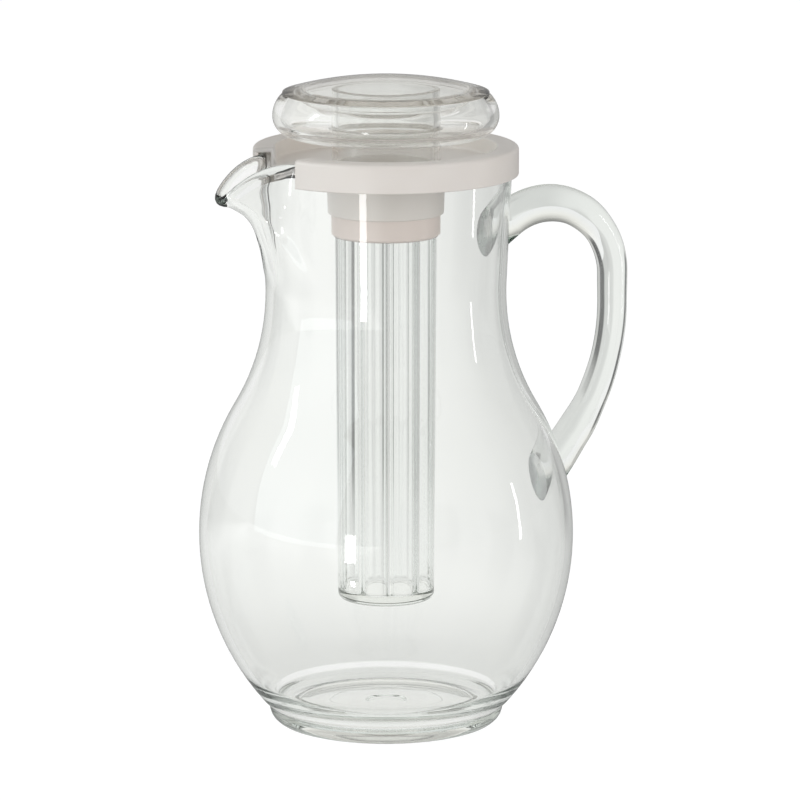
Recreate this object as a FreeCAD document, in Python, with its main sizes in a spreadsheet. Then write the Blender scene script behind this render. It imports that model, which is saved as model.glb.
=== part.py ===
"""Clear plastic pitcher with a lift-off lid and a removable ice core.

Lengths are millimetres.  Z is up and the origin is the centre of the foot, on the surface it stands on.
The spout points along -X and the handle along +X.
"""
import FreeCAD, Part
import math
import os
import Sketcher
from FreeCAD import Placement, Rotation, Vector

# Driving dimensions, by the piece that they shape.  Each one becomes a named cell of the sheet.
SIZES = {
    # vessel: one belly arc, one neck arc that is tangent to it, and a straight flare up to the rim
    "belly_radius": 76.1,        # widest radius, outside
    "belly_level": 78.0,         # height of the widest place
    "belly_arc": 104.0,          # radius of the belly's outline
    "neck_radius": 48.6,         # narrowest radius, outside
    "neck_level": 178.0,
    "rim_radius": 51.1,
    "rim_level": 235.0,
    "wall": 3.0,
    "floor_level": 9.0,          # inner floor
    # foot ring
    "foot_depth": 8.5,           # height of the foot ring under the belly
    "foot_radius": 48.0,
    "foot_toe_radius": 46.4,     # where the tapered side meets the ground, before it is rounded
    "foot_round": 4.0,
    "foot_hollow_radius": 37.5,
    "foot_hollow_level": 4.6,
    "mould_ring_radius": 23.0,   # shallow step in the underside
    "mould_ring_depth": 0.7,
    # spout
    "spout_length": 25.3,        # from the rim to the tip
    "spout_nose": 5.0,           # rounding of the tip, seen from above
    "spout_root": 26.0,          # half-width where the flanks start inside the neck
    "spout_root_offset": 24.0,   # from the axis to where the flanks start
    "spout_depth": 51.0,         # from the rim down to where the keel leaves the neck
    "lip_arc": 29.6,             # the lip drops along this arc to the tip
    "lip_start": 0.9,            # from the rim to where the lip starts to drop
    "spout_floor_lift": 1.5,     # extra thickness under the pouring channel
    # handle: a solid rod along an arc, a short straight, a wide arc and a straight
    "bow_offset": 25.4,          # from the neck to the centre of the bow
    "bow_drop": 58.6,            # from the rim down to the centre of the bow
    "bow_radius": 31.6,
    "grip_straight": 12.4,
    "grip_arc": 85.0,
    "grip_arc_drop": 52.0,       # how far down the wide arc goes
    "tail_length": 32.0,         # straight run after the wide arc, cut off at the vessel
    "rod_top": 15.4,
    "rod_grip": 12.2,
    "rod_tail": 15.6,
    # lid
    "ring_wall": 1.8,
    "ring_roof": 2.0,
    "ring_height": 11.6,
    "ring_round": 1.6,
    "rim_play": 0.3,             # between the vessel's rim and the roof of the channel
    "rim_play_outside": 0.6,     # between the rim and the channel's outer wall
    "rim_play_inside": 1.7,      # between the rim and the channel's inner wall
    "deck_drop": 6.8,            # from the ring's top down to the deck
    "deck_thickness": 2.0,
    "pour_gap_angle": 40.0,
    "socket_bore": 22.25,
    "socket_wall": 1.75,
    "socket_draft": 0.6,
    "socket_depth": 20.5,        # from the deck down
    "shelf_drop": 13.2,          # from the deck down to the shelf that the tube is drawn up to
    "shelf_thickness": 1.4,
    "shelf_width": 2.85,
    # cap: bowl with a stem, and a dome on top
    "stem_wall": 2.5,
    "stem_play": 0.3,            # between the stem's end and the shelf
    "stem_side_play": 0.35,      # between the stem and the socket's bore
    "stem_top_drop": 1.4,        # from the bowl's rim down to the stem's top
    "bowl_rise": 4.9,            # from the lid's ring up to the underside of the bowl
    "bowl_height": 16.8,
    "bowl_wall": 2.0,
    "bowl_radius": 45.6,
    "bowl_low_arc": 8.0,
    "bowl_high_arc": 11.5,
    "dome_radius": 41.6,
    "dome_edge": 1.2,
    "dome_rise": 4.6,
    "dome_thickness": 2.2,
    "spigot_depth": 5.5,
    "spigot_wall": 1.8,
    "fit_play": 0.2,             # between pieces that push together
    "seal_rise": 5.6,            # from the shelf up to the seal
    "seal_section": 1.05,
    "seal_play": 0.1,
    "seal_groove_play": 0.1,
    # ice tube, ring nut and washer
    "tube_top_radius": 20.5,
    "tube_bottom_radius": 19.6,
    "tube_length": 165.0,
    "tube_floor": 4.0,
    "tube_bottom_round": 2.5,
    "flute_reach": 18.4,
    "flute_radius": 6.2,
    "flute_count": 8,
    "tube_core_radius": 14.0,
    "flange_thickness": 1.8,
    "flange_play": 0.35,
    "nut_height": 13.0,
    "nut_chamfer": 0.9,
    "nut_play": 0.3,             # between the ring nut and the tube
    "nut_side_play": 0.25,       # between the ring nut and the socket's bore
    "washer_thickness": 1.1,
}

FULL_TURN = 360.0
CUT_OVERRUN = 5.0                # how far a cut runs on past the solid


class Size:
    """A length that knows its number and the sheet formula that gives it."""

    def __init__(self, value, text):
        self.value = value
        self.text = text

    def _join(self, other, sign, value):
        return Size(value, f"({self.text} {sign} {other.text})")

    def __add__(self, other):
        other = as_size(other)
        return self._join(other, "+", self.value + other.value)

    def __sub__(self, other):
        other = as_size(other)
        return self._join(other, "-", self.value - other.value)

    def __mul__(self, other):
        other = as_size(other)
        return self._join(other, "*", self.value * other.value)

    def __neg__(self):
        return Size(-self.value, f"(0 - {self.text})")


def as_size(number):
    """A plain number as a Size; a Size stays as it is."""
    return number if isinstance(number, Size) else Size(float(number), repr(float(number)))


doc = FreeCAD.newDocument("pitcher_with_ice_core")
sheet = doc.addObject("Spreadsheet::Sheet", "Sizes")
for row, (alias, number) in enumerate(SIZES.items(), start=1):
    sheet.set(f"A{row}", alias)
    sheet.set(f"B{row}", str(number))
    sheet.setAlias(f"B{row}", alias)
doc.recompute()


class Dimensions:
    """Reads a cell of the sheet by its alias, as in dim.wall."""

    def __getattr__(self, alias):
        return Size(float(sheet.get(alias)), f"Sizes.{alias}")


dim = Dimensions()

# Places that follow from the driving dimensions, each from the piece that it seats on.
spout_reach = dim.rim_radius + dim.spout_length
lip_start = dim.rim_radius + dim.lip_start
ring_radius = dim.rim_radius + dim.rim_play_outside + dim.ring_wall
well_radius = dim.rim_radius - dim.wall - dim.rim_play_inside - dim.ring_wall
channel_roof = dim.rim_level + dim.rim_play
ring_top = channel_roof + dim.ring_roof
deck_top = ring_top - dim.deck_drop
shelf_under = deck_top - dim.shelf_drop
shelf_top = shelf_under + dim.shelf_thickness
shelf_radius = dim.socket_bore - dim.shelf_width
stem_radius = dim.socket_bore - dim.stem_side_play
stem_bore = stem_radius - dim.stem_wall
bowl_under = ring_top + dim.bowl_rise
bowl_rim = bowl_under + dim.bowl_height
seal_level = shelf_top + dim.seal_rise
washer_under = shelf_under - dim.washer_thickness
tube_mouth = washer_under - dim.fit_play
flange_under = tube_mouth - dim.flange_thickness
flange_radius = dim.socket_bore - dim.flange_play
tube_bottom = tube_mouth - dim.tube_length
nut_top = flange_under - dim.fit_play
nut_end = nut_top - dim.nut_height
nut_radius = dim.socket_bore - dim.nut_side_play


# ---------------------------------------------------------------- drawing helpers

def new_body(label):
    """An empty body with the label that names its file."""
    body = doc.addObject("PartDesign::Body", label)
    body.Label = label
    return body


def new_sketch(body, name, plane="XZ_Plane", offset=None):
    """A sketch on one of the body's own origin planes."""
    sketch = body.newObject("Sketcher::SketchObject", name)
    support = next(item for item in body.Origin.OriginFeatures if item.Role == plane)
    sketch.AttachmentSupport = (support, [""])
    sketch.MapMode = "FlatFace"
    if offset is not None:
        sketch.AttachmentOffset = offset
    return sketch


def bind(sketch, kind, references, size):
    """Adds a dimension to a sketch and binds it to the sheet."""
    index = sketch.addConstraint(Sketcher.Constraint(kind, *references, size.value))
    sketch.setExpression(f"Constraints[{index}]", size.text)


def pin_point(sketch, geometry, end, across, up):
    """Fixes one end of a curve at two distances from the sketch's origin."""
    if across is not None:
        if across.value == 0.0:
            sketch.addConstraint(Sketcher.Constraint("PointOnObject", geometry, end, -2))
        else:
            bind(sketch, "DistanceX", (-1, 1, geometry, end), across)
    if up is not None:
        if up.value == 0.0:
            sketch.addConstraint(Sketcher.Constraint("PointOnObject", geometry, end, -1))
        else:
            bind(sketch, "DistanceY", (-1, 1, geometry, end), up)


def point(across, up):
    """A sketch position."""
    return Vector(across, up, 0)


def arc_between(centre, radius, start, end, clockwise=False):
    """An arc about a centre from one position to another, as sketch geometry."""
    first = math.atan2(start.y - centre.y, start.x - centre.x)
    last = math.atan2(end.y - centre.y, end.x - centre.x)
    if clockwise:
        first, last = last, first
    circle = Part.Circle(centre, Vector(0, 0, 1), radius)
    return Part.ArcOfCircle(circle, first, last)


def draw_polygon(sketch, corners):
    """A closed outline of straight lines whose corners are pairs of sizes."""
    corners = [(as_size(across), as_size(up)) for across, up in corners]
    positions = [point(across.value, up.value) for across, up in corners]
    for start, end in zip(positions, positions[1:] + positions[:1]):
        sketch.addGeometry(Part.LineSegment(start, end))
    last = len(corners) - 1
    for index in range(len(corners)):
        before = index - 1 if index else last
        sketch.addConstraint(Sketcher.Constraint("Coincident", before, 2, index, 1))
        pin_point(sketch, index, 1, *corners[index])


def revolve(body, sketch, name, cut=False, angle=None):
    """Turns a sketch about the vertical axis, to add or to cut."""
    kind = "PartDesign::Groove" if cut else "PartDesign::Revolution"
    feature = body.newObject(kind, name)
    feature.Profile = sketch
    feature.ReferenceAxis = (sketch, ["V_Axis"])
    if angle is None:
        feature.Angle = FULL_TURN
    else:
        feature.Midplane = True
        feature.setExpression("Angle", angle.text)
    doc.recompute()
    return feature


def round_edges(body, name, wanted, radius, chamfer=False):
    """Rounds or bevels the edges of the body's last feature that a test picks."""
    doc.recompute()
    base = body.Tip
    names = [f"Edge{number}" for number, edge in enumerate(base.Shape.Edges, start=1) if wanted(edge)]
    feature = body.newObject("PartDesign::Chamfer" if chamfer else "PartDesign::Fillet", name)
    feature.Base = (base, names)
    feature.setExpression("Size" if chamfer else "Radius", radius.text)
    doc.recompute()
    return feature


def on_circle(edge, radius, level, near=0.05):
    """True where a whole edge lies at one radius and one level."""
    ends = [edge.valueAt(at) for at in (edge.FirstParameter, (edge.FirstParameter + edge.LastParameter) / 2)]
    return all(abs(math.hypot(p.x, p.y) - radius) < near and abs(p.z - level) < near for p in ends)


# ---------------------------------------------------------------- vessel outline

def draw_vessel_outline(sketch, inset, low, high):
    """Half outline of the vessel, moved inwards by inset, between two levels and closed on the axis."""
    axis_out = dim.belly_radius - dim.belly_arc
    belly_arc = dim.belly_arc - inset
    neck_out = dim.neck_radius - inset
    rim_out = dim.rim_radius - inset
    # The neck's arc has the one radius that makes it tangent to the belly's.
    narrowing = dim.neck_radius.value - axis_out.value
    climb = dim.neck_level.value - dim.belly_level.value
    belly = dim.belly_arc.value
    neck = (climb ** 2 + narrowing ** 2 - belly ** 2) / (2 * (belly - narrowing))
    belly_centre = point(axis_out.value, dim.belly_level.value)
    neck_centre = point(dim.neck_radius.value + neck, dim.neck_level.value)
    neck_arc = neck + inset.value
    joint = belly_centre + (neck_centre - belly_centre).normalize() * belly_arc.value
    # The flare above the neck is the tangent from the rim to the neck's arc.
    rim = point(rim_out.value, dim.rim_level.value)
    reach = rim - neck_centre
    turn = math.atan2(reach.y, reach.x) + math.acos(neck_arc / reach.Length)
    flare_start = neck_centre + point(math.cos(turn), math.sin(turn)) * neck_arc
    top_across = rim.x + (rim.x - flare_start.x) * (high.value - rim.y) / (rim.y - flare_start.y)
    drop = dim.belly_level.value - low.value
    bottom = point(axis_out.value + math.sqrt(belly_arc.value ** 2 - drop ** 2), low.value)
    top = point(top_across, high.value)
    floor, belly_curve, neck_curve, flare, roof, axis = range(6)
    sketch.addGeometry(Part.LineSegment(point(0, low.value), bottom))
    sketch.addGeometry(arc_between(belly_centre, belly_arc.value, bottom, joint))
    sketch.addGeometry(arc_between(neck_centre, neck_arc, joint, flare_start, clockwise=True))
    sketch.addGeometry(Part.LineSegment(flare_start, top))
    sketch.addGeometry(Part.LineSegment(top, point(0, high.value)))
    sketch.addGeometry(Part.LineSegment(point(0, high.value), point(0, low.value)))
    narrowest = sketch.addGeometry(Part.Point(point(neck_out.value, dim.neck_level.value)), True)
    rim_mark = sketch.addGeometry(Part.Point(rim), True)
    join = Sketcher.Constraint
    pin_point(sketch, floor, 1, as_size(0), low)
    sketch.addConstraint(join("Horizontal", floor))
    sketch.addConstraint(join("Coincident", floor, 2, belly_curve, 1))
    pin_point(sketch, belly_curve, 3, axis_out, dim.belly_level)
    bind(sketch, "Radius", (belly_curve,), belly_arc)
    # An arc drawn clockwise has its ends the other way round: 2 is its start.
    sketch.addConstraint(join("Tangent", belly_curve, 2, neck_curve, 2))
    bind(sketch, "DistanceY", (-1, 1, neck_curve, 3), dim.neck_level)
    pin_point(sketch, narrowest, 1, neck_out, dim.neck_level)
    sketch.addConstraint(join("PointOnObject", narrowest, 1, neck_curve))
    sketch.addConstraint(join("Tangent", neck_curve, 1, flare, 1))
    pin_point(sketch, rim_mark, 1, rim_out, dim.rim_level)
    sketch.addConstraint(join("PointOnObject", rim_mark, 1, flare))
    sketch.addConstraint(join("Coincident", flare, 2, roof, 1))
    sketch.addConstraint(join("Horizontal", roof))
    sketch.addConstraint(join("Coincident", roof, 2, axis, 1))
    pin_point(sketch, roof, 2, as_size(0), high)
    sketch.addConstraint(join("Coincident", axis, 2, floor, 1))


# ---------------------------------------------------------------- pitcher body

def keel_stations():
    """Levels up the spout with its reach, nose rounding and root half-width at each one."""
    foot = dim.rim_level - dim.spout_depth
    reach = spout_reach
    nose = dim.spout_nose
    root = dim.spout_root
    return [
        (foot, reach - 28.8, nose + 3.0, root - 13.0),
        (foot + 14.0, reach - 22.0, nose + 2.2, root - 8.0),
        (foot + 25.0, reach - 15.8, nose + 1.2, root - 4.2),
        (foot + 33.0, reach - 8.6, nose + 0.5, root - 1.6),
        (foot + 38.5, reach, nose, root),
    ]


def draw_spout_section(sketch, reach, nose, root):
    """A drop shape: a small round nose and a large round root joined by two tangents."""
    nose_centre = point(-(reach.value - nose.value), 0)
    root_centre = point(-dim.spout_root_offset.value, 0)
    span = root_centre.x - nose_centre.x
    lean = math.acos((root.value - nose.value) / span)
    side = point(-math.cos(lean), math.sin(lean))
    mirror = point(side.x, -side.y)
    nose_top = nose_centre + side * nose.value
    nose_low = nose_centre + mirror * nose.value
    root_top = root_centre + side * root.value
    root_low = root_centre + mirror * root.value
    tip, lower, heel, upper = range(4)
    sketch.addGeometry(arc_between(nose_centre, nose.value, nose_top, nose_low))
    sketch.addGeometry(Part.LineSegment(nose_low, root_low))
    sketch.addGeometry(arc_between(root_centre, root.value, root_low, root_top))
    sketch.addGeometry(Part.LineSegment(root_top, nose_top))
    join = Sketcher.Constraint
    sketch.addConstraint(join("Tangent", tip, 2, lower, 1))
    sketch.addConstraint(join("Tangent", lower, 2, heel, 1))
    sketch.addConstraint(join("Tangent", heel, 2, upper, 1))
    sketch.addConstraint(join("Tangent", upper, 2, tip, 1))
    pin_point(sketch, tip, 3, nose - reach, as_size(0))
    pin_point(sketch, heel, 3, -dim.spout_root_offset, as_size(0))
    bind(sketch, "Radius", (tip,), nose)
    bind(sketch, "Radius", (heel,), root)


def shape_spout(body, name, inset, lift, cut=False):
    """The spout's outside, or its pouring channel when it is cut a wall further in.

    The keel is lofted up to the tip, and the flanks go straight up from there.
    """
    sections = []
    for number, (level, reach, nose, root) in enumerate(keel_stations(), start=1):
        sketch = new_sketch(body, f"{name}_section_{number}", "XY_Plane")
        sketch.setExpression("AttachmentOffset.Base.z", (level + lift).text)
        draw_spout_section(sketch, reach - inset, nose - inset, root - inset)
        sections.append(sketch)
    doc.recompute()
    loft = "PartDesign::SubtractiveLoft" if cut else "PartDesign::AdditiveLoft"
    keel = body.newObject(loft, f"{name}_keel")
    keel.Profile = sections[0]
    keel.Sections = sections[1:]
    doc.recompute()
    flanks = body.newObject("PartDesign::Pocket" if cut else "PartDesign::Pad", f"{name}_flanks")
    flanks.Profile = sections[-1]
    flanks.Reversed = cut
    keel_top = keel_stations()[-1][0]
    overrun = 2 * CUT_OVERRUN if cut else CUT_OVERRUN
    flanks.setExpression("Length", (dim.rim_level - keel_top + overrun).text)
    doc.recompute()


def build_pitcher_body():
    """The vessel: turned shell, foot ring and a lofted spout whose lip drops to the tip."""
    body = new_body("pitcher_body")
    outside = new_sketch(body, "vessel_outside")
    draw_vessel_outline(outside, as_size(0), dim.foot_depth, dim.rim_level)
    revolve(body, outside, "vessel")
    foot = new_sketch(body, "foot_outline")
    draw_polygon(foot, [
        (0, 0),
        (dim.foot_toe_radius, 0),
        (dim.foot_radius, dim.foot_depth),
        (0, dim.foot_depth),
    ])
    revolve(body, foot, "foot")
    toe = dim.foot_toe_radius.value
    round_edges(body, "foot_rounding", lambda edge: on_circle(edge, toe, 0), dim.foot_round)
    hollow = new_sketch(body, "foot_hollow_outline")
    draw_polygon(hollow, [
        (0, -1),
        (dim.foot_hollow_radius + 1, -1),
        (dim.foot_hollow_radius - 1, dim.foot_hollow_level),
        (dim.mould_ring_radius, dim.foot_hollow_level),
        (dim.mould_ring_radius, dim.foot_hollow_level + dim.mould_ring_depth),
        (0, dim.foot_hollow_level + dim.mould_ring_depth),
    ])
    revolve(body, hollow, "foot_hollow", cut=True)
    shape_spout(body, "spout", as_size(0), as_size(0))
    inside = new_sketch(body, "vessel_inside")
    draw_vessel_outline(inside, dim.wall, dim.floor_level, dim.rim_level + CUT_OVERRUN)
    revolve(body, inside, "vessel_hollow", cut=True)
    shape_spout(body, "pouring_channel", dim.wall, dim.spout_floor_lift, cut=True)
    trim = new_sketch(body, "lip_outline")
    draw_lip_trim(trim)
    lip = body.newObject("PartDesign::Pocket", "lip")
    lip.Profile = trim
    lip.Type = 1
    lip.Midplane = True
    doc.recompute()
    body.Tip = lip
    return body


def draw_lip_trim(sketch):
    """The region above the rim and above the arc along which the lip drops."""
    start = point(-lip_start.value, dim.rim_level.value)
    centre = point(start.x, start.y - dim.lip_arc.value)
    end = point(start.x - dim.lip_arc.value, centre.y)
    high = dim.rim_level + 2 * CUT_OVERRUN
    high_left = point(end.x, high.value)
    right = point(0, high.value)
    low_right = point(0, start.y)
    drop, up, across, down, back = range(5)
    sketch.addGeometry(arc_between(centre, dim.lip_arc.value, start, end))
    sketch.addGeometry(Part.LineSegment(end, high_left))
    sketch.addGeometry(Part.LineSegment(high_left, right))
    sketch.addGeometry(Part.LineSegment(right, low_right))
    sketch.addGeometry(Part.LineSegment(low_right, start))
    join = Sketcher.Constraint
    pin_point(sketch, drop, 3, -lip_start, dim.rim_level - dim.lip_arc)
    pin_point(sketch, drop, 1, -lip_start, None)
    bind(sketch, "Radius", (drop,), dim.lip_arc)
    sketch.addConstraint(join("Tangent", drop, 2, up, 1))
    sketch.addConstraint(join("Coincident", up, 2, across, 1))
    sketch.addConstraint(join("Horizontal", across))
    sketch.addConstraint(join("Coincident", across, 2, down, 1))
    pin_point(sketch, across, 2, as_size(0), high)
    sketch.addConstraint(join("Vertical", down))
    sketch.addConstraint(join("Coincident", down, 2, back, 1))
    sketch.addConstraint(join("Horizontal", back))
    sketch.addConstraint(join("Coincident", back, 2, drop, 1))


# ---------------------------------------------------------------- handle

def handle_stations():
    """Places along the rod: its centre, its direction and its diameter."""
    centre = point((dim.neck_radius + dim.bow_offset).value, (dim.rim_level - dim.bow_drop).value)
    bow = dim.bow_radius.value
    grip = dim.grip_arc.value
    grip_centre = point(centre.x + bow - grip, centre.y - dim.grip_straight.value)
    stations = []
    for degrees, size in ((160, dim.rod_top + 1.0), (125, dim.rod_top), (90, dim.rod_top),
                          (60, dim.rod_top - 0.8), (30, dim.rod_grip + 1.0), (0, dim.rod_grip + 0.3)):
        angle = math.radians(degrees)
        place = centre + point(math.cos(angle), math.sin(angle)) * bow
        stations.append((place, point(math.sin(angle), -math.cos(angle)), size))
    last = math.asin(dim.grip_arc_drop.value / grip)
    for share, size in ((0.0, dim.rod_grip), (0.35, dim.rod_grip), (0.7, dim.rod_grip + 0.6),
                        (1.0, dim.rod_tail - 0.9)):
        angle = last * share
        place = grip_centre + point(math.cos(angle), -math.sin(angle)) * grip
        stations.append((place, point(-math.sin(angle), -math.cos(angle)), size))
    place, direction, _ = stations[-1]
    tail = dim.tail_length.value
    for share, size in ((0.44, dim.rod_tail), (1.0, dim.rod_tail + 0.4)):
        stations.append((place + direction * (tail * share), direction, size))
    return stations


def build_handle():
    """The rod, trimmed at both ends to lie on the outside of the vessel."""
    body = new_body("handle")
    sections = []
    for number, (place, direction, diameter) in enumerate(handle_stations(), start=1):
        turn = Rotation(Vector(0, 1, 0), math.degrees(math.atan2(direction.x, direction.y)))
        offset = Placement(Vector(place.x, 0, place.y), turn)
        sketch = new_sketch(body, f"rod_section_{number}", "XY_Plane", offset)
        sketch.addGeometry(Part.Circle(Vector(0, 0, 0), Vector(0, 0, 1), diameter.value / 2))
        sketch.addConstraint(Sketcher.Constraint("Coincident", 0, 3, -1, 1))
        bind(sketch, "Diameter", (0,), diameter)
        sections.append(sketch)
    doc.recompute()
    rod = body.newObject("PartDesign::AdditiveLoft", "rod")
    rod.Profile = sections[0]
    rod.Sections = sections[1:]
    doc.recompute()
    seat = new_sketch(body, "vessel_seat")
    draw_vessel_outline(seat, as_size(0), dim.foot_depth, dim.rim_level)
    revolve(body, seat, "rod_ends", cut=True)
    return body


# ---------------------------------------------------------------- lid

def build_lid():
    """Ring that hooks over the rim, sunken deck and the socket for cap and ice tube, with a pouring gap."""
    body = new_body("lid")
    skirt = ring_top - dim.ring_height
    channel_out = ring_radius - dim.ring_wall
    channel_in = well_radius + dim.ring_wall
    deck_under = deck_top - dim.deck_thickness
    socket_end = deck_top - dim.socket_depth
    socket_radius = dim.socket_bore + dim.socket_wall
    section = new_sketch(body, "lid_outline")
    draw_polygon(section, [
        (ring_radius, skirt),
        (ring_radius, ring_top),
        (well_radius, ring_top),
        (well_radius, deck_top),
        (dim.socket_bore, deck_top),
        (dim.socket_bore, shelf_top),
        (shelf_radius, shelf_top),
        (shelf_radius, shelf_under),
        (dim.socket_bore, shelf_under),
        (dim.socket_bore, socket_end),
        (socket_radius - dim.socket_draft, socket_end),
        (socket_radius, deck_under),
        (channel_in, deck_under),
        (channel_in, channel_roof),
        (channel_out, channel_roof),
        (channel_out, skirt),
    ])
    revolve(body, section, "lid_shell")
    gap = new_sketch(body, "pour_gap_outline")
    draw_polygon(gap, [
        (-well_radius - ring_radius, socket_end),
        (-well_radius, socket_end),
        (-well_radius, ring_top + CUT_OVERRUN),
        (-well_radius - ring_radius, ring_top + CUT_OVERRUN),
    ])
    revolve(body, gap, "pour_gap", cut=True, angle=dim.pour_gap_angle)
    outer = ring_radius.value
    top = ring_top.value
    round_edges(body, "ring_rounding", lambda edge: on_circle(edge, outer, top), dim.ring_round)
    return body


# ---------------------------------------------------------------- cap

def build_cap_bowl():
    """Round saucer on a hollow stem that plugs into the lid's socket."""
    body = new_body("cap_bowl")
    section = new_sketch(body, "bowl_outline")
    draw_bowl_outline(section)
    revolve(body, section, "bowl")
    groove_floor = dim.socket_bore - dim.seal_play - dim.seal_section * 2 - dim.seal_groove_play
    half_width = dim.seal_section + dim.seal_groove_play
    groove = new_sketch(body, "seal_groove_outline")
    draw_polygon(groove, [
        (groove_floor, seal_level - half_width),
        (dim.socket_bore, seal_level - half_width),
        (dim.socket_bore, seal_level + half_width),
        (groove_floor, seal_level + half_width),
    ])
    revolve(body, groove, "seal_groove", cut=True)
    return body


def draw_bowl_outline(sketch):
    """Half section of the bowl: stem, flat floor and a wall of two tangent arcs inside and out."""
    stem_end = shelf_top + dim.stem_play
    stem_top = bowl_rim - dim.stem_top_drop
    low, high = dim.bowl_low_arc, dim.bowl_high_arc
    wall = dim.bowl_wall
    waist = bowl_under + low
    low_out = dim.bowl_radius - low
    high_out = dim.bowl_radius - high
    rise = bowl_rim.value - waist.value

    def rim_point(radius):
        return point(high_out.value + math.sqrt(radius ** 2 - rise ** 2), bowl_rim.value)

    low_centre = point(low_out.value, waist.value)
    high_centre = point(high_out.value, waist.value)
    outer_start = point(low_out.value, bowl_under.value)
    outer_waist = point(dim.bowl_radius.value, waist.value)
    inner_start = point(low_out.value, bowl_under.value + wall.value)
    inner_waist = point(dim.bowl_radius.value - wall.value, waist.value)
    outer_rim = rim_point(high.value)
    inner_rim = rim_point(high.value - wall.value)
    corners = [
        (stem_bore, stem_end), (stem_radius, stem_end), (stem_radius, bowl_under),
        (low_out, bowl_under),
    ]
    returns = [
        (low_out, bowl_under + wall), (stem_radius, bowl_under + wall),
        (stem_radius, stem_top), (stem_bore, stem_top),
    ]

    def line(start, end):
        return sketch.addGeometry(Part.LineSegment(start, end))

    def places(pairs):
        return [point(across.value, up.value) for across, up in pairs]

    first = places(corners)
    second = places(returns)
    stem = [line(start, end) for start, end in zip(first, first[1:])]
    outer_low = sketch.addGeometry(arc_between(low_centre, low.value, outer_start, outer_waist))
    outer_high = sketch.addGeometry(arc_between(high_centre, high.value, outer_waist, outer_rim))
    rim = line(outer_rim, inner_rim)
    inner_high = sketch.addGeometry(
        arc_between(high_centre, high.value - wall.value, inner_rim, inner_waist, clockwise=True))
    inner_low = sketch.addGeometry(
        arc_between(low_centre, low.value - wall.value, inner_waist, inner_start, clockwise=True))
    back = [line(start, end) for start, end in zip(second, second[1:])]
    closing = line(second[-1], first[0])
    join = Sketcher.Constraint
    for before, after in zip(stem, stem[1:]):
        sketch.addConstraint(join("Coincident", before, 2, after, 1))
    for geometry, corner in zip(stem, corners):
        pin_point(sketch, geometry, 1, *corner)
    pin_point(sketch, stem[-1], 2, *corners[-1])
    sketch.addConstraint(join("Coincident", stem[-1], 2, outer_low, 1))
    sketch.addConstraint(join("Coincident", outer_low, 2, outer_high, 1))
    sketch.addConstraint(join("Coincident", outer_high, 2, rim, 1))
    sketch.addConstraint(join("Coincident", rim, 2, inner_high, 2))
    sketch.addConstraint(join("Coincident", inner_high, 1, inner_low, 2))
    sketch.addConstraint(join("Coincident", inner_low, 1, back[0], 1))
    for arc, across in ((outer_low, low_out), (outer_high, high_out), (inner_high, high_out),
                        (inner_low, low_out)):
        pin_point(sketch, arc, 3, across, waist)
    sketch.addConstraint(join("Horizontal", rim))
    bind(sketch, "DistanceY", (-1, 1, outer_high, 2), bowl_rim)
    bind(sketch, "DistanceY", (-1, 1, outer_low, 2), waist)
    bind(sketch, "DistanceY", (-1, 1, inner_low, 2), waist)
    for before, after in zip(back, back[1:]):
        sketch.addConstraint(join("Coincident", before, 2, after, 1))
    for geometry, corner in zip(back, returns):
        pin_point(sketch, geometry, 1, *corner)
    pin_point(sketch, back[-1], 2, *returns[-1])
    sketch.addConstraint(join("Coincident", back[-1], 2, closing, 1))
    sketch.addConstraint(join("Coincident", closing, 2, stem[0], 1))


def build_cap_dome():
    """Shallow dome with a spigot that pushes into the mouth of the bowl."""
    body = new_body("cap_dome")
    seat = bowl_rim
    edge_top = seat + dim.dome_edge
    apex = edge_top + dim.dome_rise
    under_apex = apex - dim.dome_thickness
    rise = (dim.bowl_height - dim.bowl_low_arc).value
    inner_arc = dim.bowl_high_arc.value - dim.bowl_wall.value
    mouth = dim.bowl_radius.value - dim.bowl_high_arc.value + math.sqrt(inner_arc ** 2 - rise ** 2)
    spigot_out = as_size(mouth) - dim.fit_play
    spigot_in = spigot_out - dim.spigot_wall
    spigot_end = seat - dim.spigot_depth

    def crown(top, radius, edge):
        """Centre level and radius of the arc through an apex on the axis and an edge point."""
        height = top - edge
        return (radius ** 2 + height ** 2) / (2 * height)

    outer_radius = crown(apex.value, dim.dome_radius.value, edge_top.value)
    inner_radius = crown(under_apex.value, spigot_in.value, seat.value)
    outer_centre = point(0, apex.value - outer_radius)
    inner_centre = point(0, under_apex.value - inner_radius)
    apex_place = point(0, apex.value)
    under_place = point(0, under_apex.value)
    edge_place = point(dim.dome_radius.value, edge_top.value)
    corners = [
        (spigot_in, seat), (spigot_in, spigot_end), (spigot_out, spigot_end), (spigot_out, seat),
        (dim.dome_radius, seat), (dim.dome_radius, edge_top),
    ]
    section = new_sketch(body, "dome_outline")
    places = [point(across.value, up.value) for across, up in corners]
    under = section.addGeometry(
        arc_between(inner_centre, inner_radius, under_place, places[0], clockwise=True))
    lines = [section.addGeometry(Part.LineSegment(start, end)) for start, end in zip(places, places[1:])]
    over = section.addGeometry(arc_between(outer_centre, outer_radius, edge_place, apex_place))
    axis = section.addGeometry(Part.LineSegment(apex_place, under_place))
    join = Sketcher.Constraint
    section.addConstraint(join("Coincident", under, 1, lines[0], 1))
    for before, after in zip(lines, lines[1:]):
        section.addConstraint(join("Coincident", before, 2, after, 1))
    for geometry, corner in zip(lines, corners):
        pin_point(section, geometry, 1, *corner)
    pin_point(section, lines[-1], 2, *corners[-1])
    section.addConstraint(join("Coincident", lines[-1], 2, over, 1))
    section.addConstraint(join("Coincident", over, 2, axis, 1))
    section.addConstraint(join("Coincident", axis, 2, under, 2))
    pin_point(section, axis, 1, as_size(0), apex)
    pin_point(section, axis, 2, as_size(0), under_apex)
    section.addConstraint(join("PointOnObject", over, 3, -2))
    section.addConstraint(join("PointOnObject", under, 3, -2))
    revolve(body, section, "dome")
    return body


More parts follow.
